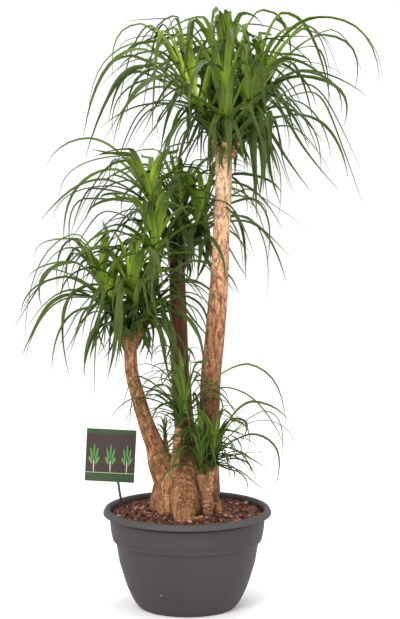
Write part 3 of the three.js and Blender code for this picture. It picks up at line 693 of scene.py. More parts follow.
# A leaf is (heading, out, up, tipOut, tipUp, width): its heading in degrees anticlockwise from +X seen
# from above, how far its highest point and its tip stand out and up from the base, and its width. The
# keyed leaves are the solids' own and count among the crown's leaves; the added ones are only here.
crowns = [
    {"node": "crown_top_front", "on": "tall", "seed": 101, "leaves": 20, "reach": 1, "rise": 1,
     "width": 0.015, "base": (0.079, -0.036, 0.988), "lean": (-0.06, -0.12, 1), "keyed": [
         (-118, 0.034, 0.243, 0.092, 0.185, 0.016), (-70, 0.04, 0.214, 0.098, 0.14, 0.016),
         (-96, 0.045, 0.176, 0.104, 0.11, 0.017), (-150, 0.072, 0.22, 0.108, 0.022, 0.012),
         (20, 0.076, 0.244, 0.152, 0.205, 0.009), (-35, 0.06, 0.19, 0.13, 0.09, 0.013),
         (160, 0.05, 0.228, 0.12, 0.19, 0.013), (-78, 0.022, 0.028, 0.034, -0.1, 0.014),
         (-125, 0.03, 0.03, 0.048, -0.035, 0.014), (95, 0.014, 0.244, 0.03, 0.205, 0.016),
         (-62, 0.026, 0.238, 0.066, 0.165, 0.016), (-100, 0.03, 0.232, 0.07, 0.15, 0.015),
     ]},
    {"node": "crown_top_right", "on": "tall", "seed": 102, "leaves": 20, "reach": 1.02, "rise": 0.82,
     "width": 0.013, "base": (0.118, -0.012, 1.002), "lean": (0.3, -0.1, 0.95), "keyed": [
         (10, 0.078, 0.222, 0.16, 0.05, 0.015), (-12, 0.148, 0.213, 0.292, 0.08, 0.009),
         (20, 0.168, 0.182, 0.282, 0.085, 0.009), (30, 0.17, 0.16, 0.236, 0.024, 0.009),
         (-35, 0.148, 0.19, 0.212, 0.072, 0.009), (-60, 0.06, 0.12, 0.11, -0.01, 0.014),
         (45, 0.09, 0.215, 0.15, 0.12, 0.012), (-62, 0.018, 0.02, 0.03, -0.118, 0.015),
     ], "added": [
         (-8, 0.16, 0.212, 0.268, 0.09, 0.012), (-40, 0.02, 0.01, 0.03, -0.16, 0.014),
         (-25, 0.03, 0.02, 0.05, -0.14, 0.014),
         (5, 0.12, 0.2, 0.17, 0.08, 0.013), (0, 0.17, 0.19, 0.23, 0.09, 0.011),
         (-50, 0.03, 0, 0.03, -0.18, 0.017),
     ]},
    {"node": "crown_top_far_right", "on": "tall", "seed": 103, "leaves": 20, "reach": 1, "rise": 0.76,
     "width": 0.012, "base": (0.128, 0.03, 0.988), "lean": (0.5, 0.25, 0.83), "keyed": [
         (5, 0.113, 0.096, 0.205, -0.075, 0.01), (-15, 0.13, 0.078, 0.208, -0.14, 0.01),
         (38, 0.1, 0.143, 0.15, 0.01, 0.012), (25, 0.104, 0.062, 0.21, -0.06, 0.008),
         (-32, 0.062, 0.048, 0.178, -0.086, 0.012), (-52, 0.06, 0.038, 0.1, -0.092, 0.013),
         (-66, 0.036, 0.014, 0.066, -0.148, 0.013),
     ], "added": [
         (-30, 0.03, 0.02, 0.05, -0.15, 0.013), (10, 0.026, 0.02, 0.038, -0.17, 0.012),
         (-75, 0.03, 0.015, 0.045, -0.16, 0.014), (-5, 0.045, 0.03, 0.07, -0.13, 0.012),
         (-85, 0.03, 0, 0.03, -0.18, 0.016),
     ]},
    {"node": "crown_top_left", "on": "tall", "seed": 104, "leaves": 19, "reach": 1, "rise": 0.86,
     "width": 0.013, "base": (0.034, -0.012, 1.008), "lean": (-0.5, -0.12, 0.86), "keyed": [
         (175, 0.125, 0.195, 0.215, 0.1, 0.01), (-168, 0.11, 0.19, 0.195, 0.02, 0.01),
         (160, 0.135, 0.16, 0.262, 0.015, 0.011), (-158, 0.135, 0.142, 0.252, -0.03, 0.012),
         (170, 0.108, 0.112, 0.226, -0.068, 0.012), (-172, 0.096, 0.084, 0.212, -0.036, 0.015),
         (178, 0.086, 0.035, 0.188, -0.014, 0.013), (-145, 0.09, 0.18, 0.118, -0.03, 0.012),
         (-163, 0.034, 0.006, 0.098, -0.165, 0.012), (172, 0.079, 0.195, 0.117, -0.018, 0.012),
         (-172, 0.099, 0.185, 0.14, 0.093, 0.012), (-130, 0.043, 0.2, 0.07, 0.05, 0.014),
         (-160, 0.06, 0.205, 0.12, 0.12, 0.012), (165, 0.055, 0.212, 0.13, 0.14, 0.011),
         (150, 0.07, 0.19, 0.15, 0.1, 0.011), (-176, 0.05, 0.04, 0.112, -0.05, 0.012),
     ], "added": [
         (175, 0.12, 0.125, 0.2, 0.06, 0.011), (-170, 0.13, 0.11, 0.21, 0.03, 0.011),
         (165, 0.14, 0.1, 0.2, 0, 0.011), (180, 0.1, 0.14, 0.17, 0.1, 0.011),
         (-165, 0.15, 0.13, 0.205, 0.07, 0.01),
     ]},
    {"node": "crown_top_back", "on": "tall", "seed": 105, "leaves": 18, "reach": 1, "rise": 0.88,
     "width": 0.013, "base": (0.06, 0.042, 0.99), "lean": (-0.15, 0.4, 0.9), "keyed": [
         (120, 0.12, 0.19, 0.21, 0.04, 0.012), (75, 0.11, 0.2, 0.19, 0.06, 0.012),
         (172, 0.11, 0.06, 0.205, -0.15, 0.009), (-8, 0.1, -0.02, 0.15, -0.2, 0.01),
     ]},
    {"node": "crown_middle_right", "on": "middle", "seed": 106, "leaves": 18, "reach": 0.82, "rise": 0.8,
     "width": 0.012, "base": (0.018, 0.064, 0.768), "lean": (0.35, 0.1, 0.93), "keyed": [
         (12, 0.112, 0.078, 0.172, -0.055, 0.01), (2, 0.096, 0.042, 0.158, -0.128, 0.01),
         (28, 0.09, 0.11, 0.175, 0.02, 0.01), (-6, 0.07, 0.1, 0.14, -0.02, 0.011),
         (18, 0.075, 0.05, 0.115, -0.09, 0.011), (-20, 0.06, 0.13, 0.13, 0.06, 0.01),
     ], "added": [
         (-100, 0.03, 0.02, 0.05, -0.06, 0.014), (-60, 0.03, 0.03, 0.05, -0.05, 0.013),
         (-130, 0.04, 0.02, 0.07, -0.05, 0.013), (-75, 0.025, 0, 0.04, -0.09, 0.013),
         (-50, 0.03, 0.01, 0.04, -0.1, 0.015), (-35, 0.025, 0.02, 0.03, -0.08, 0.015),
     ]},
    {"node": "crown_middle_left", "on": "middle", "seed": 107, "leaves": 18, "reach": 0.9, "rise": 0.7,
     "width": 0.013, "base": (-0.06, 0.046, 0.808), "lean": (-0.4, -0.05, 0.9), "keyed": [
         (176, 0.15, 0.164, 0.216, 0.118, 0.01), (-172, 0.076, 0.128, 0.213, 0.038, 0.011),
         (-150, 0.07, 0.118, 0.16, 0, 0.014), (150, 0.11, 0.12, 0.19, -0.02, 0.01),
         (178, 0.091, 0.1, 0.206, -0.046, 0.012), (-165, 0.1, 0.09, 0.2, -0.08, 0.011),
     ], "added": [
         (180, 0.14, 0.06, 0.2, -0.03, 0.011), (-172, 0.15, 0.04, 0.2, -0.09, 0.01),
     ]},
    {"node": "crown_middle_back", "on": "middle", "seed": 108, "leaves": 18, "reach": 0.86, "rise": 0.8,
     "width": 0.012, "base": (-0.016, 0.094, 0.776), "lean": (0.05, 0.5, 0.86), "keyed": [
         (80, 0.105, 0.12, 0.19, -0.03, 0.011),
     ]},
    {"node": "crown_left_high", "on": "left", "seed": 109, "leaves": 17, "reach": 0.85, "rise": 0.72,
     "width": 0.014, "base": (-0.064, -0.02, 0.712), "lean": (-0.05, -0.1, 1), "keyed": [
         (-175, 0.06, 0.138, 0.154, 0.108, 0.012), (-40, 0.032, 0.15, 0.066, 0.118, 0.016),
         (-10, 0.062, 0.122, 0.096, 0.096, 0.015), (168, 0.098, 0.112, 0.17, -0.01, 0.01),
         (-15, 0.072, 0.028, 0.104, -0.026, 0.012), (-102, 0.026, 0.012, 0.046, -0.122, 0.015),
         (-120, 0.024, 0.128, 0.06, 0.09, 0.016), (176, 0.086, 0.073, 0.155, 0, 0.011),
     ]},
    {"node": "crown_left_front", "on": "left", "seed": 110, "leaves": 17, "reach": 0.78, "rise": 0.86,
     "width": 0.014, "base": (-0.109, -0.046, 0.63), "lean": (-0.05, -0.2, 0.97), "keyed": [
         (-80, 0.026, 0.15, 0.058, 0.116, 0.015), (-160, 0.056, 0.096, 0.088, 0.026, 0.016),
         (-22, 0.046, 0.108, 0.09, 0.058, 0.014), (-116, 0.052, 0.062, 0.072, -0.112, 0.015),
         (-140, 0.06, 0.04, 0.128, -0.11, 0.01), (-135, 0.07, 0.05, 0.127, -0.18, 0.014),
     ], "added": [
         (-150, 0.02, 0, 0.05, -0.1, 0.015), (-125, 0.02, 0.01, 0.04, -0.11, 0.015),
         (170, 0.03, 0, 0.06, -0.12, 0.014), (-165, 0.04, 0.02, 0.08, -0.09, 0.014),
         (-140, 0.03, 0.02, 0.05, -0.14, 0.018), (-170, 0.03, 0, 0.05, -0.13, 0.017),
         (-115, 0.03, 0, 0.05, -0.12, 0.017),
     ]},
    {"node": "crown_left_outer", "on": "left", "seed": 111, "leaves": 19, "reach": 0.86, "rise": 0.74,
     "width": 0.012, "base": (-0.155, -0.028, 0.628), "lean": (-0.45, -0.05, 0.9), "keyed": [
         (178, 0.118, 0.078, 0.192, -0.04, 0.009), (-170, 0.072, 0.152, 0.182, -0.11, 0.01),
         (-150, 0.076, 0.04, 0.114, -0.14, 0.01), (174, 0.072, 0.02, 0.176, -0.106, 0.009),
         (160, 0.09, 0.12, 0.175, 0.02, 0.01), (-165, 0.05, 0, 0.1, -0.1, 0.011),
         (-155, 0.06, 0, 0.129, -0.125, 0.012),
     ], "added": [
         (175, 0.07, 0.14, 0.12, 0.05, 0.013), (-165, 0.06, 0.125, 0.1, 0.04, 0.014),
         (160, 0.085, 0.12, 0.14, 0, 0.011),
         (-150, 0.05, 0.1, 0.09, 0, 0.013), (170, 0.08, 0.11, 0.1, 0.02, 0.012),
     ]},
    {"node": "crown_left_inner", "on": "left", "seed": 112, "leaves": 17, "reach": 0.74, "rise": 0.8,
     "width": 0.011, "base": (-0.09, 0.004, 0.59), "lean": (0.4, 0.15, 0.9), "keyed": [
         (-20, 0.092, 0.07, 0.174, -0.044, 0.01), (-34, 0.08, 0.03, 0.15, -0.092, 0.01),
         (-52, 0.06, 0.046, 0.112, -0.072, 0.01),
     ], "added": [
         (-40, 0.05, 0.03, 0.09, -0.07, 0.011), (-25, 0.04, 0.02, 0.07, -0.09, 0.011),
         (-65, 0.03, 0.01, 0.06, -0.09, 0.012), (-80, 0.03, 0, 0.05, -0.07, 0.013),
         (-10, 0.06, 0.03, 0.11, -0.05, 0.01),
         (-50, 0.04, 0, 0.07, -0.12, 0.014), (-30, 0.05, 0.01, 0.08, -0.11, 0.013),
     ]},
    {"node": "crown_centre_shoot", "on": "centre", "seed": 113, "leaves": 16, "reach": 0.6, "rise": 0.95,
     "width": 0.0075, "base": (-0.016, -0.064, 0.386), "lean": (0.25, -0.05, 0.96), "keyed": [
         (-8, 0.137, 0.133, 0.226, 0.015, 0.0065), (-15, 0.1, 0.086, 0.215, -0.042, 0.007),
         (-5, 0.052, 0.126, 0.066, 0.12, 0.01), (172, 0.085, 0.104, 0.113, 0.01, 0.007),
         (-176, 0.08, 0.086, 0.104, -0.006, 0.007), (179, 0.046, 0.04, 0.096, 0.002, 0.007),
         (115, 0.02, 0.15, 0.032, 0.146, 0.008), (-60, 0.018, 0.13, 0.03, 0.124, 0.008),
         (175, 0.08, 0.06, 0.15, 0, 0.007), (168, 0.07, 0.13, 0.12, 0.07, 0.007),
         (-20, 0.05, 0.11, 0.11, 0.05, 0.009), (-170, 0.034, 0.16, 0.06, 0.14, 0.012),
         (150, 0.035, 0.17, 0.06, 0.14, 0.012), (10, 0.026, 0.165, 0.05, 0.15, 0.012),
         (-100, 0.012, 0.165, 0.03, 0.15, 0.011), (60, 0.03, 0.16, 0.07, 0.12, 0.011),
         (-15, 0.044, 0.14, 0.06, 0.165, 0.011),
     ], "added": [
         (175, 0.03, 0.1, 0.05, 0.09, 0.009), (-165, 0.03, 0.07, 0.06, 0.05, 0.009),
         (170, 0.02, 0.05, 0.045, 0.03, 0.009), (-150, 0.02, 0.03, 0.04, -0.01, 0.009),
     ]},
    {"node": "crown_right_shoot_front", "on": "rightFront", "seed": 114, "leaves": 12, "reach": 0.5,
     "rise": 0.9, "width": 0.0075, "base": (0.029, -0.066, 0.291), "lean": (-0.1, -0.15, 1), "keyed": [
         (-170, 0.046, 0.052, 0.108, 0.03, 0.007), (-120, 0.02, 0.112, 0.03, 0.106, 0.008),
         (-30, 0.07, 0.06, 0.12, -0.01, 0.007), (110, 0.03, 0.165, 0.06, 0.13, 0.009),
         (140, 0.035, 0.125, 0.07, 0.08, 0.008), (60, 0.03, 0.155, 0.05, 0.12, 0.009),
         (-150, 0.03, 0.1, 0.06, 0.05, 0.008), (170, 0.03, 0.15, 0.05, 0.11, 0.008),
     ]},
    {"node": "crown_right_shoot_side", "on": "rightSide", "seed": 115, "leaves": 14, "reach": 0.55,
     "rise": 0.95, "width": 0.0075, "base": (0.05, -0.058, 0.3), "lean": (0.2, -0.05, 0.97), "keyed": [
         (-10, 0.088, 0.142, 0.14, 0.112, 0.0095), (2, 0.106, 0.12, 0.158, 0.022, 0.008),
         (12, 0.106, 0.096, 0.18, 0.026, 0.0065), (-12, 0.084, 0.074, 0.158, -0.028, 0.008),
         (15, 0.104, 0.03, 0.13, 0.018, 0.0065), (-8, 0.016, 0.008, 0.104, -0.054, 0.008),
         (-36, 0.046, 0.058, 0.068, -0.012, 0.008), (-60, 0.02, 0.11, 0.05, 0.1, 0.009),
         (30, 0.03, 0.13, 0.06, 0.13, 0.009), (-5, 0.045, 0.1, 0.09, 0.03, 0.009),
     ], "added": [
         (-5, 0.02, 0.03, 0.05, 0.01, 0.009), (-30, 0.025, 0.02, 0.05, -0.02, 0.009),
         (15, 0.02, 0.045, 0.045, 0.03, 0.009), (0, 0.03, 0.01, 0.06, -0.02, 0.008),
         (-10, 0.03, 0.08, 0.06, 0.07, 0.009), (15, 0.03, 0.1, 0.05, 0.1, 0.009),
         (-20, 0.03, 0.03, 0.08, 0, 0.011), (-25, 0.05, 0, 0.1, -0.06, 0.009),
     ]},
    {"node": "crown_small_sprout", "on": "sprout", "seed": 116, "leaves": 6, "reach": 0.27, "rise": 0.8,
     "width": 0.0034, "base": (-0.046, 0.004, 0.352), "lean": (0, -0.1, 1), "keyed": [], "fillers": 14},
]


def shootLength(crown):  # the part that the leaves hide
    return 0.014 + 0.044 * crown["reach"]


def shootRadius(crown):
    return 0.0035 + 0.006 * crown["reach"]


def shootLine(crown, shares):  # from the wood up to the crown's base
    lean = unit(crown["lean"])
    end = np.array(crown["base"])
    low = lowShoots.get(crown["on"])
    if low:
        start = np.array(low["from"])
        middle = np.array(low["via"]) if "via" in low else (start + end) / 2 - 0.006 * lean
        return curveThrough([start, middle, end - 0.014 * lean, end], shares)
    start = np.array(trunks[crown["on"]]["route"][-1]) - np.array([0, 0, 0.024])
    bend = end - 0.45 * np.linalg.norm(start - end) * lean
    return bezier(start, bend, end, shares)


def bareShare(crown):  # of the shoot's line
    if crown["on"] in lowShoots:
        return 1
    whole = lengths(shootLine(crown, np.linspace(0, 1, 40)))[-1]
    return float(np.clip(bareShoot / whole, 0.35, 0.85))


# The trunk, its foot and its bark.

bark = {
    "voxel": 0.0021, "sectionPoints": 28, "limbSteps": 90, "shootSteps": 16, "limbGap": 0.0005,
    "plateWidth": 0.0125, "plateLength": 0.042, "flakeWidth": 0.0042, "flakeLength": 0.0068,
    "plateDepth": 0.0006, "ringDepth": 0.00045, "ringSpacing": 0.0085,
    # the next values set painted shade, on the tall trunk's lower part under the leaves and on the shoots
    # inside the crowns
    "shaded": 0.38, "shadedBelow": 0.66, "shootShade": 0.7, "darkFrom": 0.27,
    "topSmooth": 0.55, "smoothFrom": 0.8, "roughBelow": 0.4,
    "byHeight": [
        (0.0, (0.29, 0.13, 0.06)), (0.25, (0.36, 0.167, 0.083)), (0.5, (0.45, 0.222, 0.117)),
        (0.72, (0.55, 0.3, 0.172)), (1, (0.79, 0.5, 0.31)),
    ],
    "tan": [(0.35, (0.24, 0.11, 0.05)), (0.65, (0.51, 0.265, 0.127))],
    "tint": [(0.35, (0.5, 0.45, 0.42)), (0.62, (1.0, 0.98, 0.96)), (0.9, (1.42, 1.44, 1.46))],
    # the first colour here is painted shade for the middle trunk, the shoots inside the crowns and the tall
    # trunk's lower part
    "paintedShadeTone": (0.085, 0.033, 0.013), "crackTone": (0.075, 0.026, 0.013),
    "scarTone": (0.16, 0.07, 0.04), "paleTone": (0.74, 0.53, 0.38),
}
foot = {  # its grooves and its swell each have a heading and a share of its radius
    "route": [
        (-0.002, 0.004, 0.15), (-0.002, 0.004, 0.195), (-0.003, 0.004, 0.24), (-0.004, 0.006, 0.285),
        (-0.008, 0.008, 0.322),
    ],
    "radii": [0.068, 0.074, 0.074, 0.07, 0.063, 0.057, 0.05, 0.04, 0.02],
    "flute": 0.05, "grooves": [(228, 0.16), (314, 0.42), (95, 0.16)], "swell": (184, 0.14),
    "rings": 48, "sides": 144,
}
roots = {
    "frontToe": {
        "route": [
            (-0.003, -0.026, 0.275), (-0.005, -0.06, 0.24), (-0.007, -0.085, 0.212),
            (-0.008, -0.106, 0.19), (-0.007, -0.12, 0.168),
        ],
        "radii": [0.026, 0.028, 0.023, 0.014, 0.006],
    },
    "sideStub": {
        "route": [(0.062, -0.03, 0.17), (0.063, -0.034, 0.2), (0.062, -0.035, 0.222)],
        "radii": [0.013, 0.011, 0.006],
    },
    "surfaceRoot": {
        "route": [
            (0.006, -0.098, 0.196), (0.016, -0.1, 0.206), (0.022, -0.096, 0.2), (0.029, -0.09, 0.206),
            (0.036, -0.082, 0.196),
        ],
        "radii": [0.006, 0.0052, 0.0045, 0.0045, 0.004],
    },
    "shoulder": {
        "route": [
            (-0.03, -0.022, 0.28), (-0.034, -0.034, 0.25), (-0.034, -0.041, 0.22), (-0.034, -0.044, 0.19),
        ],
        "radii": [0.024, 0.029, 0.029, 0.027],
    },
}


def barkPlates(graph):  # the same plates and ring scars for the relief and the colours
    grain = stored(graph, "grain", "FLOAT_VECTOR")
    along = parted(graph, grain).beside("Z")
    wobble = noise(graph, scaled(graph, grain, 0.02, 0.05), 1, 2).beside("Color")
    place = scaled(graph, grain, bark["plateWidth"], bark["plateLength"])
    bent = vectorMaths(graph, "ADD", place, vectorMaths(graph, "SCALE", wobble, 1.1))
    waver = noise(graph, scaled(graph, grain, 0.02, 0.02), 1, 2)
    rings = ((along / bark["ringSpacing"] + waver * 3) * 2 * math.pi).sine()
    return bent, cells(graph, bent), rings


def buildBark(graph, given):
    bent, cracks, rings = barkPlates(graph)
    smooth = stored(graph, "smooth")
    rough = stored(graph, "rough")
    lift = noise(graph, bent, 1.7, 3, 0.6) - 0.5
    plates = (cracks.between(0, 0.22) * 0.8 + lift * 1.5) * (0.35 + rough * 0.65) * (1 - smooth * 0.85)
    height = plates * given["Plate Depth"] + rings * given["Ring Depth"] * (0.15 + smooth * 0.85)
    offset = vectorMaths(graph, "SCALE", graph.node("GeometryNodeInputNormal"), height)
    return coated(graph, realized(graph, moved(graph, given["Geometry"], offset)), given)


def buildLimbs(graph, given):
    lines = graph.node("GeometryNodeMeshToCurve", {}, (given["Geometry"],))
    limbs = swept(graph, lines, circle(graph, given["Section Points"]), stored(graph, "half"))
    return realized(graph, limbs)


def barkPaint(graph):
    cracks, rings = barkPlates(graph)[1:]
    grain = stored(graph, "grain", "FLOAT_VECTOR")
    smooth = stored(graph, "smooth")
    rough = stored(graph, "rough")
    height = parted(graph, objectPlace(graph)).beside("Z")
    flakes = scaled(graph, grain, bark["flakeWidth"], bark["flakeLength"])
    fine = cells(graph, flakes)
    flake = parted(graph, cells(graph, flakes, 1, "F1").beside("Color"))
    streaks = noise(graph, scaled(graph, grain, 0.0035, 0.03), 1, 4, 0.65)
    patches = noise(graph, grain, 30, 3)
    colour = ramp(graph, height.between(0.22, 0.98), bark["byHeight"])
    colour = blend(graph, rough * 0.7, colour, ramp(graph, patches, bark["tan"]))
    # painted shade on the middle trunk, on the shoots inside the crowns and on the tall trunk's lower part
    # under the leaves
    colour = blend(graph, stored(graph, "dark") * 0.94, colour, bark["paintedShadeTone"])
    tint = ramp(graph, streaks * 0.55 + flake * 0.45 + patches * 0.35, bark["tint"])
    colour = blend(graph, 1.0, colour, tint, "MULTIPLY")
    # the dark specks are the bark's own; the darkening in the crevices and hairline cracks is partly the
    # bark's own colour and partly painted shade in the recesses
    specks = streaks.between(0.4, 0.33) * 0.45 * (1 - smooth * 0.6)
    crevice = (1 - cracks.between(0.02, 0.17)) * streaks.between(0.68, 0.42) * (1 - smooth * 0.75)
    hairlines = (1 - fine.between(0.0, 0.14)) * 0.6 * (1 - smooth * 0.5)
    colour = blend(graph, specks.atLeast(crevice.atLeast(hairlines)) * 0.85, colour, bark["crackTone"])
    scars = rings.between(0.2, 0.9) * smooth
    colour = blend(graph, scars * 0.32, colour, bark["scarTone"])
    pale = (0 - rings).between(0.4, 1.0) * smooth * patches.between(0.4, 0.6)
    colour = blend(graph, pale * 0.6, colour, bark["paleTone"])
    relief = cracks.between(0, 0.12) * rough + streaks * 0.7 + fine.between(0, 0.1) * 0.35
    return {"Base Color": colour, "Normal": bump(graph, relief + rings * smooth * 0.3, 0.0013, 0.8)}


def footReach(share, heading):  # how far the foot stands out from its axis
    def facing(middle):
        return np.maximum(0, np.cos(heading - math.radians(middle)))
    flute = np.sin(7 * heading + 0.8) + 0.5 * np.sin(12 * heading + 2)
    groove = sum(depth * facing(middle) ** 8 for middle, depth in foot["grooves"])
    middle, amount = foot["swell"]
    swell = amount * facing(middle) ** 4 * np.exp(-((share - 0.6) / 0.35) ** 2)
    return evenly(foot["radii"], share) * (1 + (1 - share) * (foot["flute"] * flute - groove) + swell)


def footMesh():
    shares = np.linspace(0, 1, foot["rings"])
    centres = curveThrough(foot["route"], shares)
    heading = roundAngles(foot["sides"])
    reach = footReach(shares[:, None], heading[None])
    points = np.repeat(centres[:, None], foot["sides"], axis=1)
    points[..., 0] += reach * np.cos(heading)
    points[..., 1] += reach * np.sin(heading)
    return points


def limbLines():  # the middle line and the radii of each trunk, shoot and root, in this order
    def limb(part, steps):
        shares = np.linspace(0, 1, steps)
        return curveThrough(part["route"], shares), evenly(part["radii"], shares)

    def shoot(crown):
        shares = np.linspace(0, 1, bark["shootSteps"])
        tip = shootRadius(crown)
        low = lowShoots.get(crown["on"])
        radii = [*low["radii"][:-1], tip] if low else [1.15 * tip, 1.1 * tip, tip]
        return shootLine(crown, shares * bareShare(crown)), evenly(radii, shares)
    lines = [limb(trunk, bark["limbSteps"]) for trunk in trunks.values()]
    lines += [shoot(crown) for crown in crowns]
    return lines + [limb(root, bark["shootSteps"]) for root in roots.values()]


def linePiece(name, lines):
    points = np.concatenate(lines)
    edges = []
    start = 0
    for line in lines:
        edges += [(start + i, start + i + 1) for i in range(len(line) - 1)]
        start += len(line)
    return meshPiece(name, points, (), edges)


def fusedWood(lines):  # the limbs and the foot as one skin
    piece = linePiece("limbs", [line for line, radii in lines])
    carry(piece, "half", np.concatenate([radii for line, radii in lines]))
    tree = growthTree("limbTree", {"Section Points": "Int"}, buildLimbs)
    grown(piece, tree, {"Section Points": bark["sectionPoints"]})
    limbs = corners(piece)
    faces = [tuple(face.vertices) for face in piece.data.polygons]
    bpy.data.objects.remove(piece)
    footPoints = footMesh()
    sides = foot["sides"]
    starts = range(len(limbs), len(limbs) + foot["rings"] * sides, sides)
    for low, high in zip(starts, starts[1:]):
        faces += ringFaces(low, high, sides)
    faces.append(tuple(reversed(range(starts[0], starts[1]))))
    faces.append(tuple(range(starts[-1], starts[-1] + sides)))
    piece = meshPiece("ponytailTrunk", np.vstack([limbs, footPoints.reshape(-1, 3)]), faces)
    remesh = piece.modifiers.new("fuse", "REMESH")
    remesh.mode = "VOXEL"
    remesh.voxel_size = bark["voxel"]
    soften = piece.modifiers.new("soften", "SMOOTH")
    soften.factor = 0.5
    soften.iterations = 4
    return plain(piece)


def nearestLimbs(points, lines):  # the limb that each point belongs to, -1 on the foot, and its grain
    height = points[:, 2]
    bottom, top = foot["route"][0][2], foot["route"][-1][2]
    share = np.clip((height - bottom) / (top - bottom), 0, 1)
    grain = points - curveThrough(foot["route"], share)
    grain[:, 2] = height
    best = np.hypot(grain[:, 0], grain[:, 1]) - footReach(share, np.arctan2(grain[:, 1], grain[:, 0]))
    best[height > top] = 1
    owner = np.full(len(points), -1)
    for index, (line, radii) in enumerate(lines):
        offset = points[:, None] - line[None]
        distance = np.linalg.norm(offset, axis=2) - radii[None]
        nearest = distance.argmin(1)
        reach = distance[np.arange(len(points)), nearest]
        closer = reach < best - bark["limbGap"]
        best[closer] = reach[closer]
        found = offset[np.arange(len(points)), nearest][closer]
        found[:, 2] = line[0, 2] + lengths(line)[nearest[closer]] + 0.7 * found[:, 2]
        grain[closer] = found + (0.3 * index, 0, 0)
        owner[closer] = index
    return owner, grain


def carryZones(piece, lines):  # where the bark carries painted shade, and where it is smooth and rough
    points = corners(piece)
    height = points[:, 2]
    owner, grain = nearestLimbs(points, lines)
    tall, middle = 0, 1
    shoots = dict(enumerate([crown["on"] for crown in crowns], len(trunks)))
    firstRoot = len(lines) - len(roots)
    smallRoots = [firstRoot + list(roots).index(name) for name in ("sideStub", "surfaceRoot")]
    onShoot = np.isin(owner, [*shoots, *smallRoots])
    onMiddle = np.isin(owner, [middle] + [index for index, on in shoots.items() if on == "middle"])
    onTop = bark["shootShade"] * np.isin(owner, [index for index, on in shoots.items() if on in trunks])
    shaded = bark["shaded"] * (owner == tall) * np.clip((bark["shadedBelow"] - height) / 0.2, 0, 1)
    # painted shade: the whole middle trunk, the shoots inside the crowns and the tall trunk's lower part
    dark = np.maximum(np.maximum(onMiddle, onTop), shaded)
    highUp = np.clip((height - bark["smoothFrom"]) / 0.12, 0, 1)
    carry(piece, "grain", grain, "FLOAT_VECTOR")
    carry(piece, "dark", dark * np.clip((height - bark["darkFrom"]) / 0.06, 0, 1))
    carry(piece, "smooth", np.where(onShoot, 1.0, bark["topSmooth"] * highUp * (owner == tall)))
    carry(piece, "rough", np.clip((bark["roughBelow"] - height) / 0.12, 0, 1) * ~onShoot)


def makeTrunk():
    lines = limbLines()
    piece = fusedWood(lines)
    carryZones(piece, lines)
    inputs = {"Plate Depth": "Float", "Ring Depth": "Float", "Material": "Material"}
    values = {
        "Plate Depth": bark["plateDepth"], "Ring Depth": bark["ringDepth"],
        "Material": finish("corkyBark", barkPaint, Roughness=0.82, Specular_IOR_Level=0.25),
    }
    grown(piece, growthTree("barkTree", inputs, buildBark), values)
    piece.data.shade_smooth()
    handOver(piece, None, "trunk")
    print("stage: trunk made,", len(piece.data.polygons), "faces")


makeTrunk()


# The leaves.

blade = {
    "stations": 16, "sectionPoints": 4, "fold": 0.42, "thickness": 0.05, "clasp": 0.3, "claspShare": 0.25,
    "taper": 2.7, "tip": 1.1, "thread": 0.0003, "marginAngle": 1.0, "youngWidth": 1.12,
    "wander": 0.01, "curl": 0.03, "sway": 0.16, "roll": 2.55, "elbows": 0.2,
    "lowest": 0.2125, "highest": 1.243, "spare": 0.02,
    "colours": [
        (0.05, (0.46, 0.57, 0.08)), (0.2, (0.29, 0.43, 0.033)), (0.4, (0.145, 0.235, 0.014)),
        (0.68, (0.066, 0.115, 0.009)), (1, (0.034, 0.062, 0.006)),
    ],
    "veinTone": (0.2, 0.27, 0.07), "grooveShade": (0.03, 0.06, 0.006), "edgeTone": (0.28, 0.34, 0.08),
    "dryTone": (0.16, 0.13, 0.06),
}
tuft = {  # how a crown is filled; the low crowns are those on the small shoots by the foot
    "turn": 137.5, "fill": 0.85, "lowFill": 2.2, "youngShare": 1.5, "drawnIn": 0.9, "lowHang": 0.35,
    "sheathStart": 0.06, "lowSheath": 0.82, "skirt": 8, "collar": 3, "frontGap": 30,
}
leafAges = [  # how leaves of three ages stand on a full-sized crown: young ones rise, old ones hang
    {"out": 0.048, "up": 0.236, "tipOut": 0.118, "tipUp": 0.206},
    {"out": 0.116, "up": 0.158, "tipOut": 0.236, "tipUp": 0.036},
    {"out": 0.09, "up": 0.036, "tipOut": 0.174, "tipUp": -0.12},
]


def aged(age, key):
    return float(np.interp(age, (0, 0.5, 1), [stage[key] for stage in leafAges]))


def sheathLine(crown, shares):  # from the bare end of a shoot up into the heart of its crown
    start = tuft["lowSheath"] if crown["on"] in lowShoots else bareShare(crown) * tuft["sheathStart"]
    below = shootLine(crown, np.linspace(start, 1, 12))[:-1]
    steps = np.linspace(0, 1, 6)[:, None]
    heart = np.array(crown["base"]) + unit(crown["lean"]) * shootLength(crown) * steps
    line = np.vstack([below, heart])
    reach = lengths(line)
    return np.stack([np.interp(np.asarray(shares) * reach[-1], reach, axis) for axis in line.T], -1)


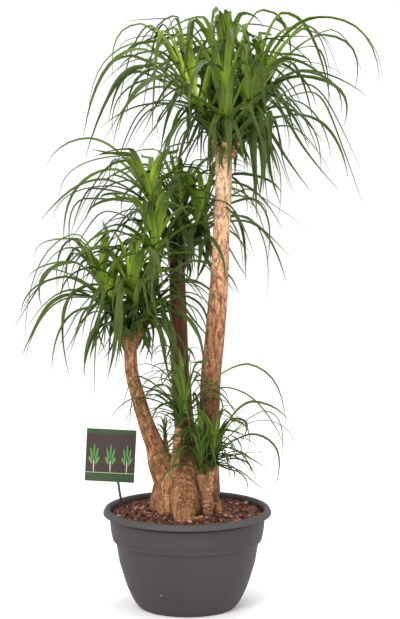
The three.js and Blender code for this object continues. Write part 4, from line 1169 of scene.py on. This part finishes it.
def makeLeaf(crown, shape, age, draws):
    lean = unit(crown["lean"])
    heading = math.radians(shape["heading"])
    outward = np.array([math.cos(heading), math.sin(heading), 0])
    base = np.array(crown["base"], float)
    upward = np.array([0, 0, 1.0])
    onTrunk = crown["on"] in trunks
    root = base + lean * shootLength(crown) * (0.82 - 0.62 * age)
    if "sheath" in shape:
        root = sheathLine(crown, shape["sheath"])
        base = base + 0.85 * (root - base) * float(root[2] < base[2])
    root = root + outward * 0.35 * shootRadius(crown) * (0.4 + 0.6 * age)
    apex = base + outward * shape["out"] + upward * shape["up"]
    tip = base + outward * shape["tipOut"] + upward * shape["tipUp"]
    lift = 0.76 + 0.24 * draws[2]
    rise = root + outward * (0.3 + 0.2 * draws[3]) * shape["out"] + upward * lift * (apex - root)[2]
    falls = (apex - tip)[2] > 0.6 * (shape["tipOut"] - shape["out"])
    elbow = draws[9] < blade["elbows"] and falls and onTrunk  # bent over sharply, and straight from there
    ahead = 0.12 + 0.2 * draws[4] if elbow else 0.6 + 0.36 * draws[4]
    sink = 0.1 * draws[10] * (tip - apex)[2]
    broad = 1 + (blade["youngWidth"] - 1) * (1 - age) * onTrunk
    fall = apex + outward * ahead * (shape["tipOut"] - shape["out"]) + upward * sink
    parts = (np.linalg.norm(apex - root), np.linalg.norm(tip - apex))
    return {
        "root": root, "rise": rise, "apex": apex, "fall": fall, "tip": tip, "outward": outward,
        "side": np.array([-math.sin(heading), math.cos(heading), 0]), "split": parts[0] / sum(parts),
        "width": shape["width"] * broad, "twist": (draws[0] - 0.5) * blade["roll"],
        "sway": (draws[1] - 0.5) * blade["sway"] * sum(parts), "age": age,
        "wander": (draws[5] - 0.5) * 2 * blade["wander"], "phase": 6 * draws[6],
        "curl": (draws[7] - 0.5) * 2 * blade["curl"], "tone": draws[8],
    }


def leafLine(leaf):
    shares = np.linspace(0, 1, blade["stations"])
    split = leaf["split"]
    first = bezier(leaf["root"], leaf["rise"], leaf["apex"], np.minimum(shares / split, 1))
    second = bezier(leaf["apex"], leaf["fall"], leaf["tip"], np.maximum((shares - split) / (1 - split), 0))
    line = np.where((shares < split)[:, None], first, second)
    late = np.clip((shares - 0.66) / 0.34, 0, 1) ** 2
    sideways = leaf["sway"] * shares ** 2 + leaf["wander"] * np.sin(7 * shares + leaf["phase"]) * shares
    line = line + leaf["side"] * sideways[:, None]
    hook = leaf["outward"] * leaf["curl"] + np.array([0, 0, (0.9 * leaf["age"] - 0.6) * abs(leaf["curl"])])
    return line + late[:, None] * hook


def fits(line):  # inside the plant's box and above the soil
    low = np.array(cadBox[0]) - blade["spare"]
    high = np.array(cadBox[1]) + blade["spare"]
    low[2], high[2] = blade["lowest"], blade["highest"]
    return bool((line > low).all() and (line < high).all())


def ruledShape(crown, age, turn, random):  # a leaf of this age, as the solids' own rule shapes it
    size = crown["reach"] * (0.86 + 0.28 * random())
    heading = turn + 50 * (random() - 0.5)
    outward = np.array([math.cos(heading / 57.3), math.sin(heading / 57.3), 0])
    push = 0.07 * crown["reach"] * float(outward @ np.array(crown["lean"], float))
    hang = aged(age, "tipUp") * (tuft["lowHang"] if age > 0.6 and crown["on"] in lowShoots else 1)
    return {
        "heading": heading, "out": aged(age, "out") * size + 0.6 * push,
        "up": aged(age, "up") * size * crown["rise"], "tipOut": aged(age, "tipOut") * size + push,
        "tipUp": hang * size, "width": crown["width"] * (0.8 + 0.35 * random()),
    }


def drawIn(shape, share):
    for key in ("out", "up", "tipOut", "tipUp"):
        shape[key] *= share


def fitted(crown, shape, age, random):  # a leaf that would leave the plant's box is drawn in a little
    draws = [random() for i in range(11)]
    for attempt in range(8):
        leaf = makeLeaf(crown, shape, age, draws)
        line = leafLine(leaf)
        if fits(line):
            return leaf, line
        drawIn(shape, 0.9)
    return None


def turnedAside(heading):  # hanging leaves part in front, where the trunks show
    fromFront = (heading + 90 + 180) % 360 - 180
    if abs(fromFront) < tuft["frontGap"]:
        return heading + math.copysign(2 * tuft["frontGap"], fromFront) - fromFront
    return heading


def plottedLeaves(crown):  # the keyed and the added ones
    for i, key in enumerate([*crown["keyed"], *crown.get("added", [])]):
        shape = dict(zip(("heading", "out", "up", "tipOut", "tipUp", "width"), key))
        age = float(np.clip(0.75 - shape["up"] / (crown["reach"] * 0.3), 0.05, 0.95))
        yield shape, age, seededRandom(crown["seed"] * 1000 + i)


def ruledLeaves(crown):  # the solids' other leaves, evenly spread in age
    count = crown["leaves"] - len(crown["keyed"])
    for i in range(count):
        random = seededRandom(crown["seed"] * 1000 + 100 + i)
        random()  # the solids' rule spends one draw here
        age = (i + 0.5) / count
        yield ruledShape(crown, age, tuft["turn"] * i + crown["seed"] * 40, random), age, random


def fillingLeaves(crown):  # mostly young, rising from the sheath to the heart
    share = tuft["fill" if crown["on"] in trunks else "lowFill"]
    count = crown.get("fillers", round(crown["leaves"] * share))
    for i in range(count):
        random = seededRandom(crown["seed"] * 1000 + 300 + i)
        age = ((i + 0.5) / count) ** tuft["youngShare"]
        heading = tuft["turn"] * i + crown["seed"] * 71
        shape = ruledShape(crown, age, turnedAside(heading) if age > 0.5 else heading, random)
        shape["sheath"] = 1 - 0.85 * age ** 0.7
        shape["width"] *= 0.7 + 0.3 * random()
        drawIn(shape, tuft["drawnIn"])
        yield shape, age, random


def skirtLeaves(crown):  # old ones that hang round the shoot
    for i in range(tuft["skirt"] if crown["on"] in trunks else 0):
        random = seededRandom(crown["seed"] * 1000 + 600 + i)
        heading = tuft["turn"] * i + crown["seed"] * 13
        collar = i < tuft["collar"]  # the lowest ones are short and stand all round
        shape = ruledShape(crown, 1, heading if collar else turnedAside(heading), random)
        shape["sheath"] = 0.6 * i / tuft["skirt"]
        short = 0.22 if collar else 0.3 + 0.45 * random()
        shape["up"] = (0.015 + 0.03 * random()) * crown["reach"]
        shape["out"] *= 0.9 * short
        shape["tipOut"] *= short
        shape["tipUp"] *= 0.1 + short
        shape["width"] *= 0.95 + 0.35 * random()
        yield shape, 1.0, random


def crownLeaves(crown):
    made = []
    for kind in (plottedLeaves, ruledLeaves, fillingLeaves, skirtLeaves):
        made += [fitted(crown, shape, age, random) for shape, age, random in kind(crown)]
    return [leaf for leaf in made if leaf]


def crownStem(crown):  # the core under the leaf bases; its lower end is inside the bark
    shares = np.linspace(0, 1, 10)
    radii = shootRadius(crown) * np.interp(shares, (0, 0.3, 0.6, 1), (0.6, 0.8, 0.7, 0.2))
    return sheathLine(crown, shares), radii


def buildBlades(graph, given):
    along = stored(graph, "along")
    clasp = (1 - along / given["Clasp Share"]).atLeast(0)
    shape = (1 - along ** given["Taper"]) ** given["Tip"]
    width = stored(graph, "half") * (1 + given["Clasp"] * clasp) * shape + given["Thread"]
    x = parted(graph, graph.node("GeometryNodeInputPosition"))
    keel = x.beside("Y") * given["Thickness"] + abs(x) * given["Fold"]
    sockets = {"Geometry": circle(graph, given["Section Points"]), "Position": vector(graph, x, keel, 0)}
    section = kept(graph, graph.node("GeometryNodeSetPosition", {}, sockets), "across", x)
    isStem = stored(graph, "stem").above(0.5)
    parts = graph.node("GeometryNodeSeparateGeometry", {"domain": "POINT"}, (given["Geometry"], isStem))
    stemLines = graph.node("GeometryNodeMeshToCurve", {}, (parts,))
    stems = swept(graph, stemLines, circle(graph, 8), stored(graph, "half"))
    lines = graph.node("GeometryNodeMeshToCurve", {}, (parts.beside("Inverted"),))
    side = stored(graph, "side", "FLOAT_VECTOR")
    lines = graph.node("GeometryNodeSetCurveNormal", {"mode": "FREE"}, {"Curve": lines, "Normal": side})
    lines = graph.node("GeometryNodeSetCurveTilt", {}, {"Curve": lines, "Tilt": stored(graph, "turn")})
    blades = swept(graph, lines, section, width)
    margin = graph.node("GeometryNodeInputMeshEdgeAngle").above(given["Margin Angle"])
    sockets = {"Geometry": blades, "Selection": margin, "Shade Smooth": False}
    blades = graph.node("GeometryNodeSetShadeSmooth", {"domain": "EDGE"}, sockets)
    whole = graph.node("GeometryNodeJoinGeometry", {}, {"Geometry": [blades, stems]})
    for spent in ("half", "turn", "side", "stem"):
        whole = graph.node("GeometryNodeRemoveAttribute", {}, {"Geometry": whole, "Name": spent})
    return coated(graph, realized(graph, whole), given)


def leafPaint(graph):
    along = stored(graph, "along")
    across = stored(graph, "across")
    # the carried age also holds painted shade, on the low crowns and low inside each tuft
    age = stored(graph, "age")
    tone = stored(graph, "tone")
    clouds = noise(graph, objectPlace(graph), 26, 2)
    colour = ramp(graph, along + age * 0.92 + tone * 0.25 + clouds * 0.25 - 0.31, blade["colours"])
    fine = noise(graph, vector(graph, across * 9 + tone * 40, along * 2, age), 3, 2)
    veins = (across * 26 + tone * 9).sine() * 0.5 + fine
    colour = blend(graph, veins.between(0.1, 1.2) * 0.22, colour, blade["veinTone"])
    # painted shade along the folded midrib groove
    colour = blend(graph, (1 - abs(across).between(0.0, 0.3)) * 0.3, colour, blade["grooveShade"])
    colour = blend(graph, abs(across).between(0.75, 1.0) * 0.2, colour, blade["edgeTone"])
    dry = (along + tone * 0.06).between(0.94, 1.04)
    colour = blend(graph, dry * 0.7, colour, blade["dryTone"])
    return {
        "Base Color": colour,
        "Roughness": 0.36 + clouds * 0.16 + dry * 0.2,
        "Normal": bump(graph, veins, 0.00035, 0.6),
    }


bladeInputs = {  # the tree's names for some of the blade's values
    "Fold": "fold", "Thickness": "thickness", "Clasp": "clasp", "Clasp Share": "claspShare",
    "Taper": "taper", "Tip": "tip", "Thread": "thread", "Margin Angle": "marginAngle",
}


def makeCrown(crown, tree, material):
    leaves = crownLeaves(crown)
    lines = [line for leaf, line in leaves]
    stations = blade["stations"]
    shares = np.linspace(0, 1, stations)
    stemLine, stemRadii = crownStem(crown)
    count = len(stemLine)
    title = crown["node"].title().replace("_", "")
    piece = linePiece(title[0].lower() + title[1:], [*lines, stemLine])

    def each(key):
        return np.repeat([leaf[key] for leaf, line in leaves], stations)
    along = np.tile(shares, len(leaves))
    lowCrownShade = (0.18 + 0.36 * np.minimum(1, 2 * each("age"))) * (crown["on"] in lowShoots)  # painted shade on the low crowns
    deep = np.clip((crown["base"][2] + 0.03 - np.concatenate(lines)[:, 2]) / 0.05, 0, 1)  # painted shade on leaf parts low inside the tuft
    carried = {
        "along": (along, np.full(count, 0.35)),
        "half": (each("width") / 2, stemRadii),
        # age here also takes painted shade, on the low crowns and low inside the tuft
        "age": (each("age") + lowCrownShade + 0.45 * deep, np.full(count, 1.1)),
        "tone": (each("tone"), np.full(count, 0.5)),
        "turn": (each("twist") * along, np.zeros(count)),
        "stem": (0 * along, np.ones(count)),
    }
    for name, values in carried.items():
        carry(piece, name, np.concatenate(values))
    sides = np.repeat([leaf["side"] for leaf, line in leaves], stations, axis=0)
    carry(piece, "side", np.vstack([sides, np.tile([1.0, 0, 0], (count, 1))]), "FLOAT_VECTOR")
    values = {name: blade[key] for name, key in bladeInputs.items()}
    grown(piece, tree, {**values, "Section Points": blade["sectionPoints"], "Material": material})
    handOver(piece, None, crown["node"])
    return len(leaves)


def makeCrowns():
    inputs = {"Section Points": "Int", **dict.fromkeys(bladeInputs, "Float"), "Material": "Material"}
    tree = growthTree("bladeTree", inputs, buildBlades)
    material = finish("strapLeaf", leafPaint, Specular_IOR_Level=0.22)
    count = sum(makeCrown(crown, tree, material) for crown in crowns)
    print("stage: crowns made,", count, "leaves")


makeCrowns()


# The label card and its stake.

label = {
    "width": 0.104, "height": 0.112, "thickness": 0.001, "centre": (-0.1615, 0.039, 0.309), "roll": 3,
    "columns": 26, "rows": 28, "sprigs": 3,
    "ground": (0.03, 0.014, 0.013), "groundPaler": (0.055, 0.028, 0.024), "border": (0.022, 0.055, 0.016),
    "leafGreen": (0.1, 0.3, 0.07), "leafDeeper": (0.05, 0.2, 0.04), "stemPale": (0.5, 0.45, 0.33),
    "ruleGreen": (0.3, 0.5, 0.2), "back": (0.55, 0.55, 0.52), "stem": (0.5, 0.3),
    "leaves": [  # each leaf's place on its sprig, and how it is turned
        ((0.5, 0.58), 90), ((0.34, 0.52), 125), ((0.66, 0.52), 55), ((0.3, 0.4), 155), ((0.7, 0.4), 25),
    ],
}
stake = {
    "top": (-0.1516, 0.041, 0.29), "foot": (-0.1316, 0.041, 0.155), "width": 0.005, "thickness": 0.002,
    "point": 0.02,
    "section": [
        (-1, -0.5), (-0.5, -1), (0.5, -1), (1, -0.5), (1, 0.5), (0.5, 1), (-0.5, 1), (-1, 0.5),
    ],
}


def ellipse(graph, u, v, place, size, turn):
    cosine = math.cos(math.radians(turn))
    sine = math.sin(math.radians(turn))
    x = ((u - place[0]) * cosine + (v - place[1]) * sine) / size[0]
    y = ((v - place[1]) * cosine - (u - place[0]) * sine) / size[1]
    return 1 - (x * x + y * y).between(0.8, 1.1)


def cardPaint(graph):
    uv = graph.node("ShaderNodeUVMap", {"uv_map": "print"})
    u = parted(graph, uv)
    v = u.beside("Y")
    cell = (u * label["sprigs"]).fraction()
    mottle = noise(graph, uv, 14, 3)
    colour = blend(graph, mottle.between(0.35, 0.7) * 0.5, label["ground"], label["groundPaler"])
    colour = blend(graph, ellipse(graph, cell, v, label["stem"], (0.035, 0.13), 0), colour, label["stemPale"])
    green = blend(graph, mottle, label["leafGreen"], label["leafDeeper"])
    for place, turn in label["leaves"]:
        colour = blend(graph, ellipse(graph, cell, v, place, (0.14, 0.045), turn), colour, green)
    lower = 1 - v.between(0.135, 0.145)
    upper = (v + mottle * 0.12).between(0.95, 0.99)
    colour = blend(graph, lower.atLeast(upper), colour, label["border"])
    rule = v.between(0.16, 0.165) * (1 - v.between(0.172, 0.177))
    colour = blend(graph, rule, colour, label["ruleGreen"])
    colour = blend(graph, stored(graph, "front"), label["back"], colour)
    return {"Base Color": colour, "Roughness": 0.3 + mottle * 0.08}


def makeLabel():
    columns, rows = label["columns"], label["rows"]
    cosine, sine = math.cos(math.radians(label["roll"])), math.sin(math.radians(label["roll"]))
    prints = [(column / columns, row / rows) for row in range(rows + 1) for column in range(columns + 1)]
    points = []
    for depth in (-label["thickness"] / 2, label["thickness"] / 2):  # the front sheet, then the back one
        for u, v in prints:
            x, z = (u - 0.5) * label["width"], (v - 0.5) * label["height"]
            points.append((x * cosine + z * sine, depth, z * cosine - x * sine))
    points = np.array(points) + np.array(label["centre"])
    line = columns + 1
    sheet = line * (rows + 1)
    faces = []
    for row in range(rows):
        for column in range(columns):
            a = row * line + column
            faces.append((a, a + 1, a + line + 1, a + line))
            faces.append((sheet + a, sheet + a + line, sheet + a + line + 1, sheet + a + 1))
    rim = [*range(0, columns), *range(columns, sheet - 1, line), *range(sheet - 1, sheet - line, -1)]
    rim += range(sheet - line, 0, -line)
    for here, there in zip(rim, rim[1:] + rim[:1]):
        faces.append((there, here, sheet + here, sheet + there))
    piece = meshPiece("plantLabel", points, faces)
    layer = piece.data.uv_layers.new(name="print")
    order = np.zeros(len(piece.data.loops), int)
    piece.data.loops.foreach_get("vertex_index", order)
    layer.data.foreach_set("uv", np.array(prints * 2, np.float32)[order].ravel())
    carry(piece, "front", np.append(np.ones(sheet), np.zeros(sheet)))
    handOver(piece, finish("glossyPrint", cardPaint, Specular_IOR_Level=0.4), "label_card")


def stakePaint(graph):
    grain = noise(graph, objectPlace(graph), 700, 2)
    colour = ramp(graph, grain, [(0.3, (0.012, 0.012, 0.012)), (0.8, (0.03, 0.03, 0.03))])
    return {"Base Color": colour, "Roughness": 0.4 + grain * 0.15, "Normal": bump(graph, grain, 0.0002)}


def makeStake():
    top, end = np.array(stake["top"]), np.array(stake["foot"])
    down = unit(end - top)
    across = np.cross(down, (0, 1, 0))
    length = np.linalg.norm(end - top)
    rings = [(0, 0.7), (0.002, 1), (length - stake["point"], 1), (length, 0.25)]
    points = []
    for distance, share in rings:
        for x, y in stake["section"]:
            deep = np.array([0, y * share * stake["thickness"] / 2, 0])
            points.append(top + down * distance + across * x * share * stake["width"] / 2 + deep)
    sides = len(stake["section"])
    starts = range(0, len(points), sides)
    faces = [tuple(range(sides)), tuple(reversed(range(starts[-1], len(points))))]
    for low, high in zip(starts, starts[1:]):
        faces += ringFaces(high, low, sides)
    piece = meshPiece("labelStake", points, faces)
    handOver(piece, finish("blackPlastic", stakePaint), "label_stake")


makeLabel()
makeStake()
print("stage: label made")
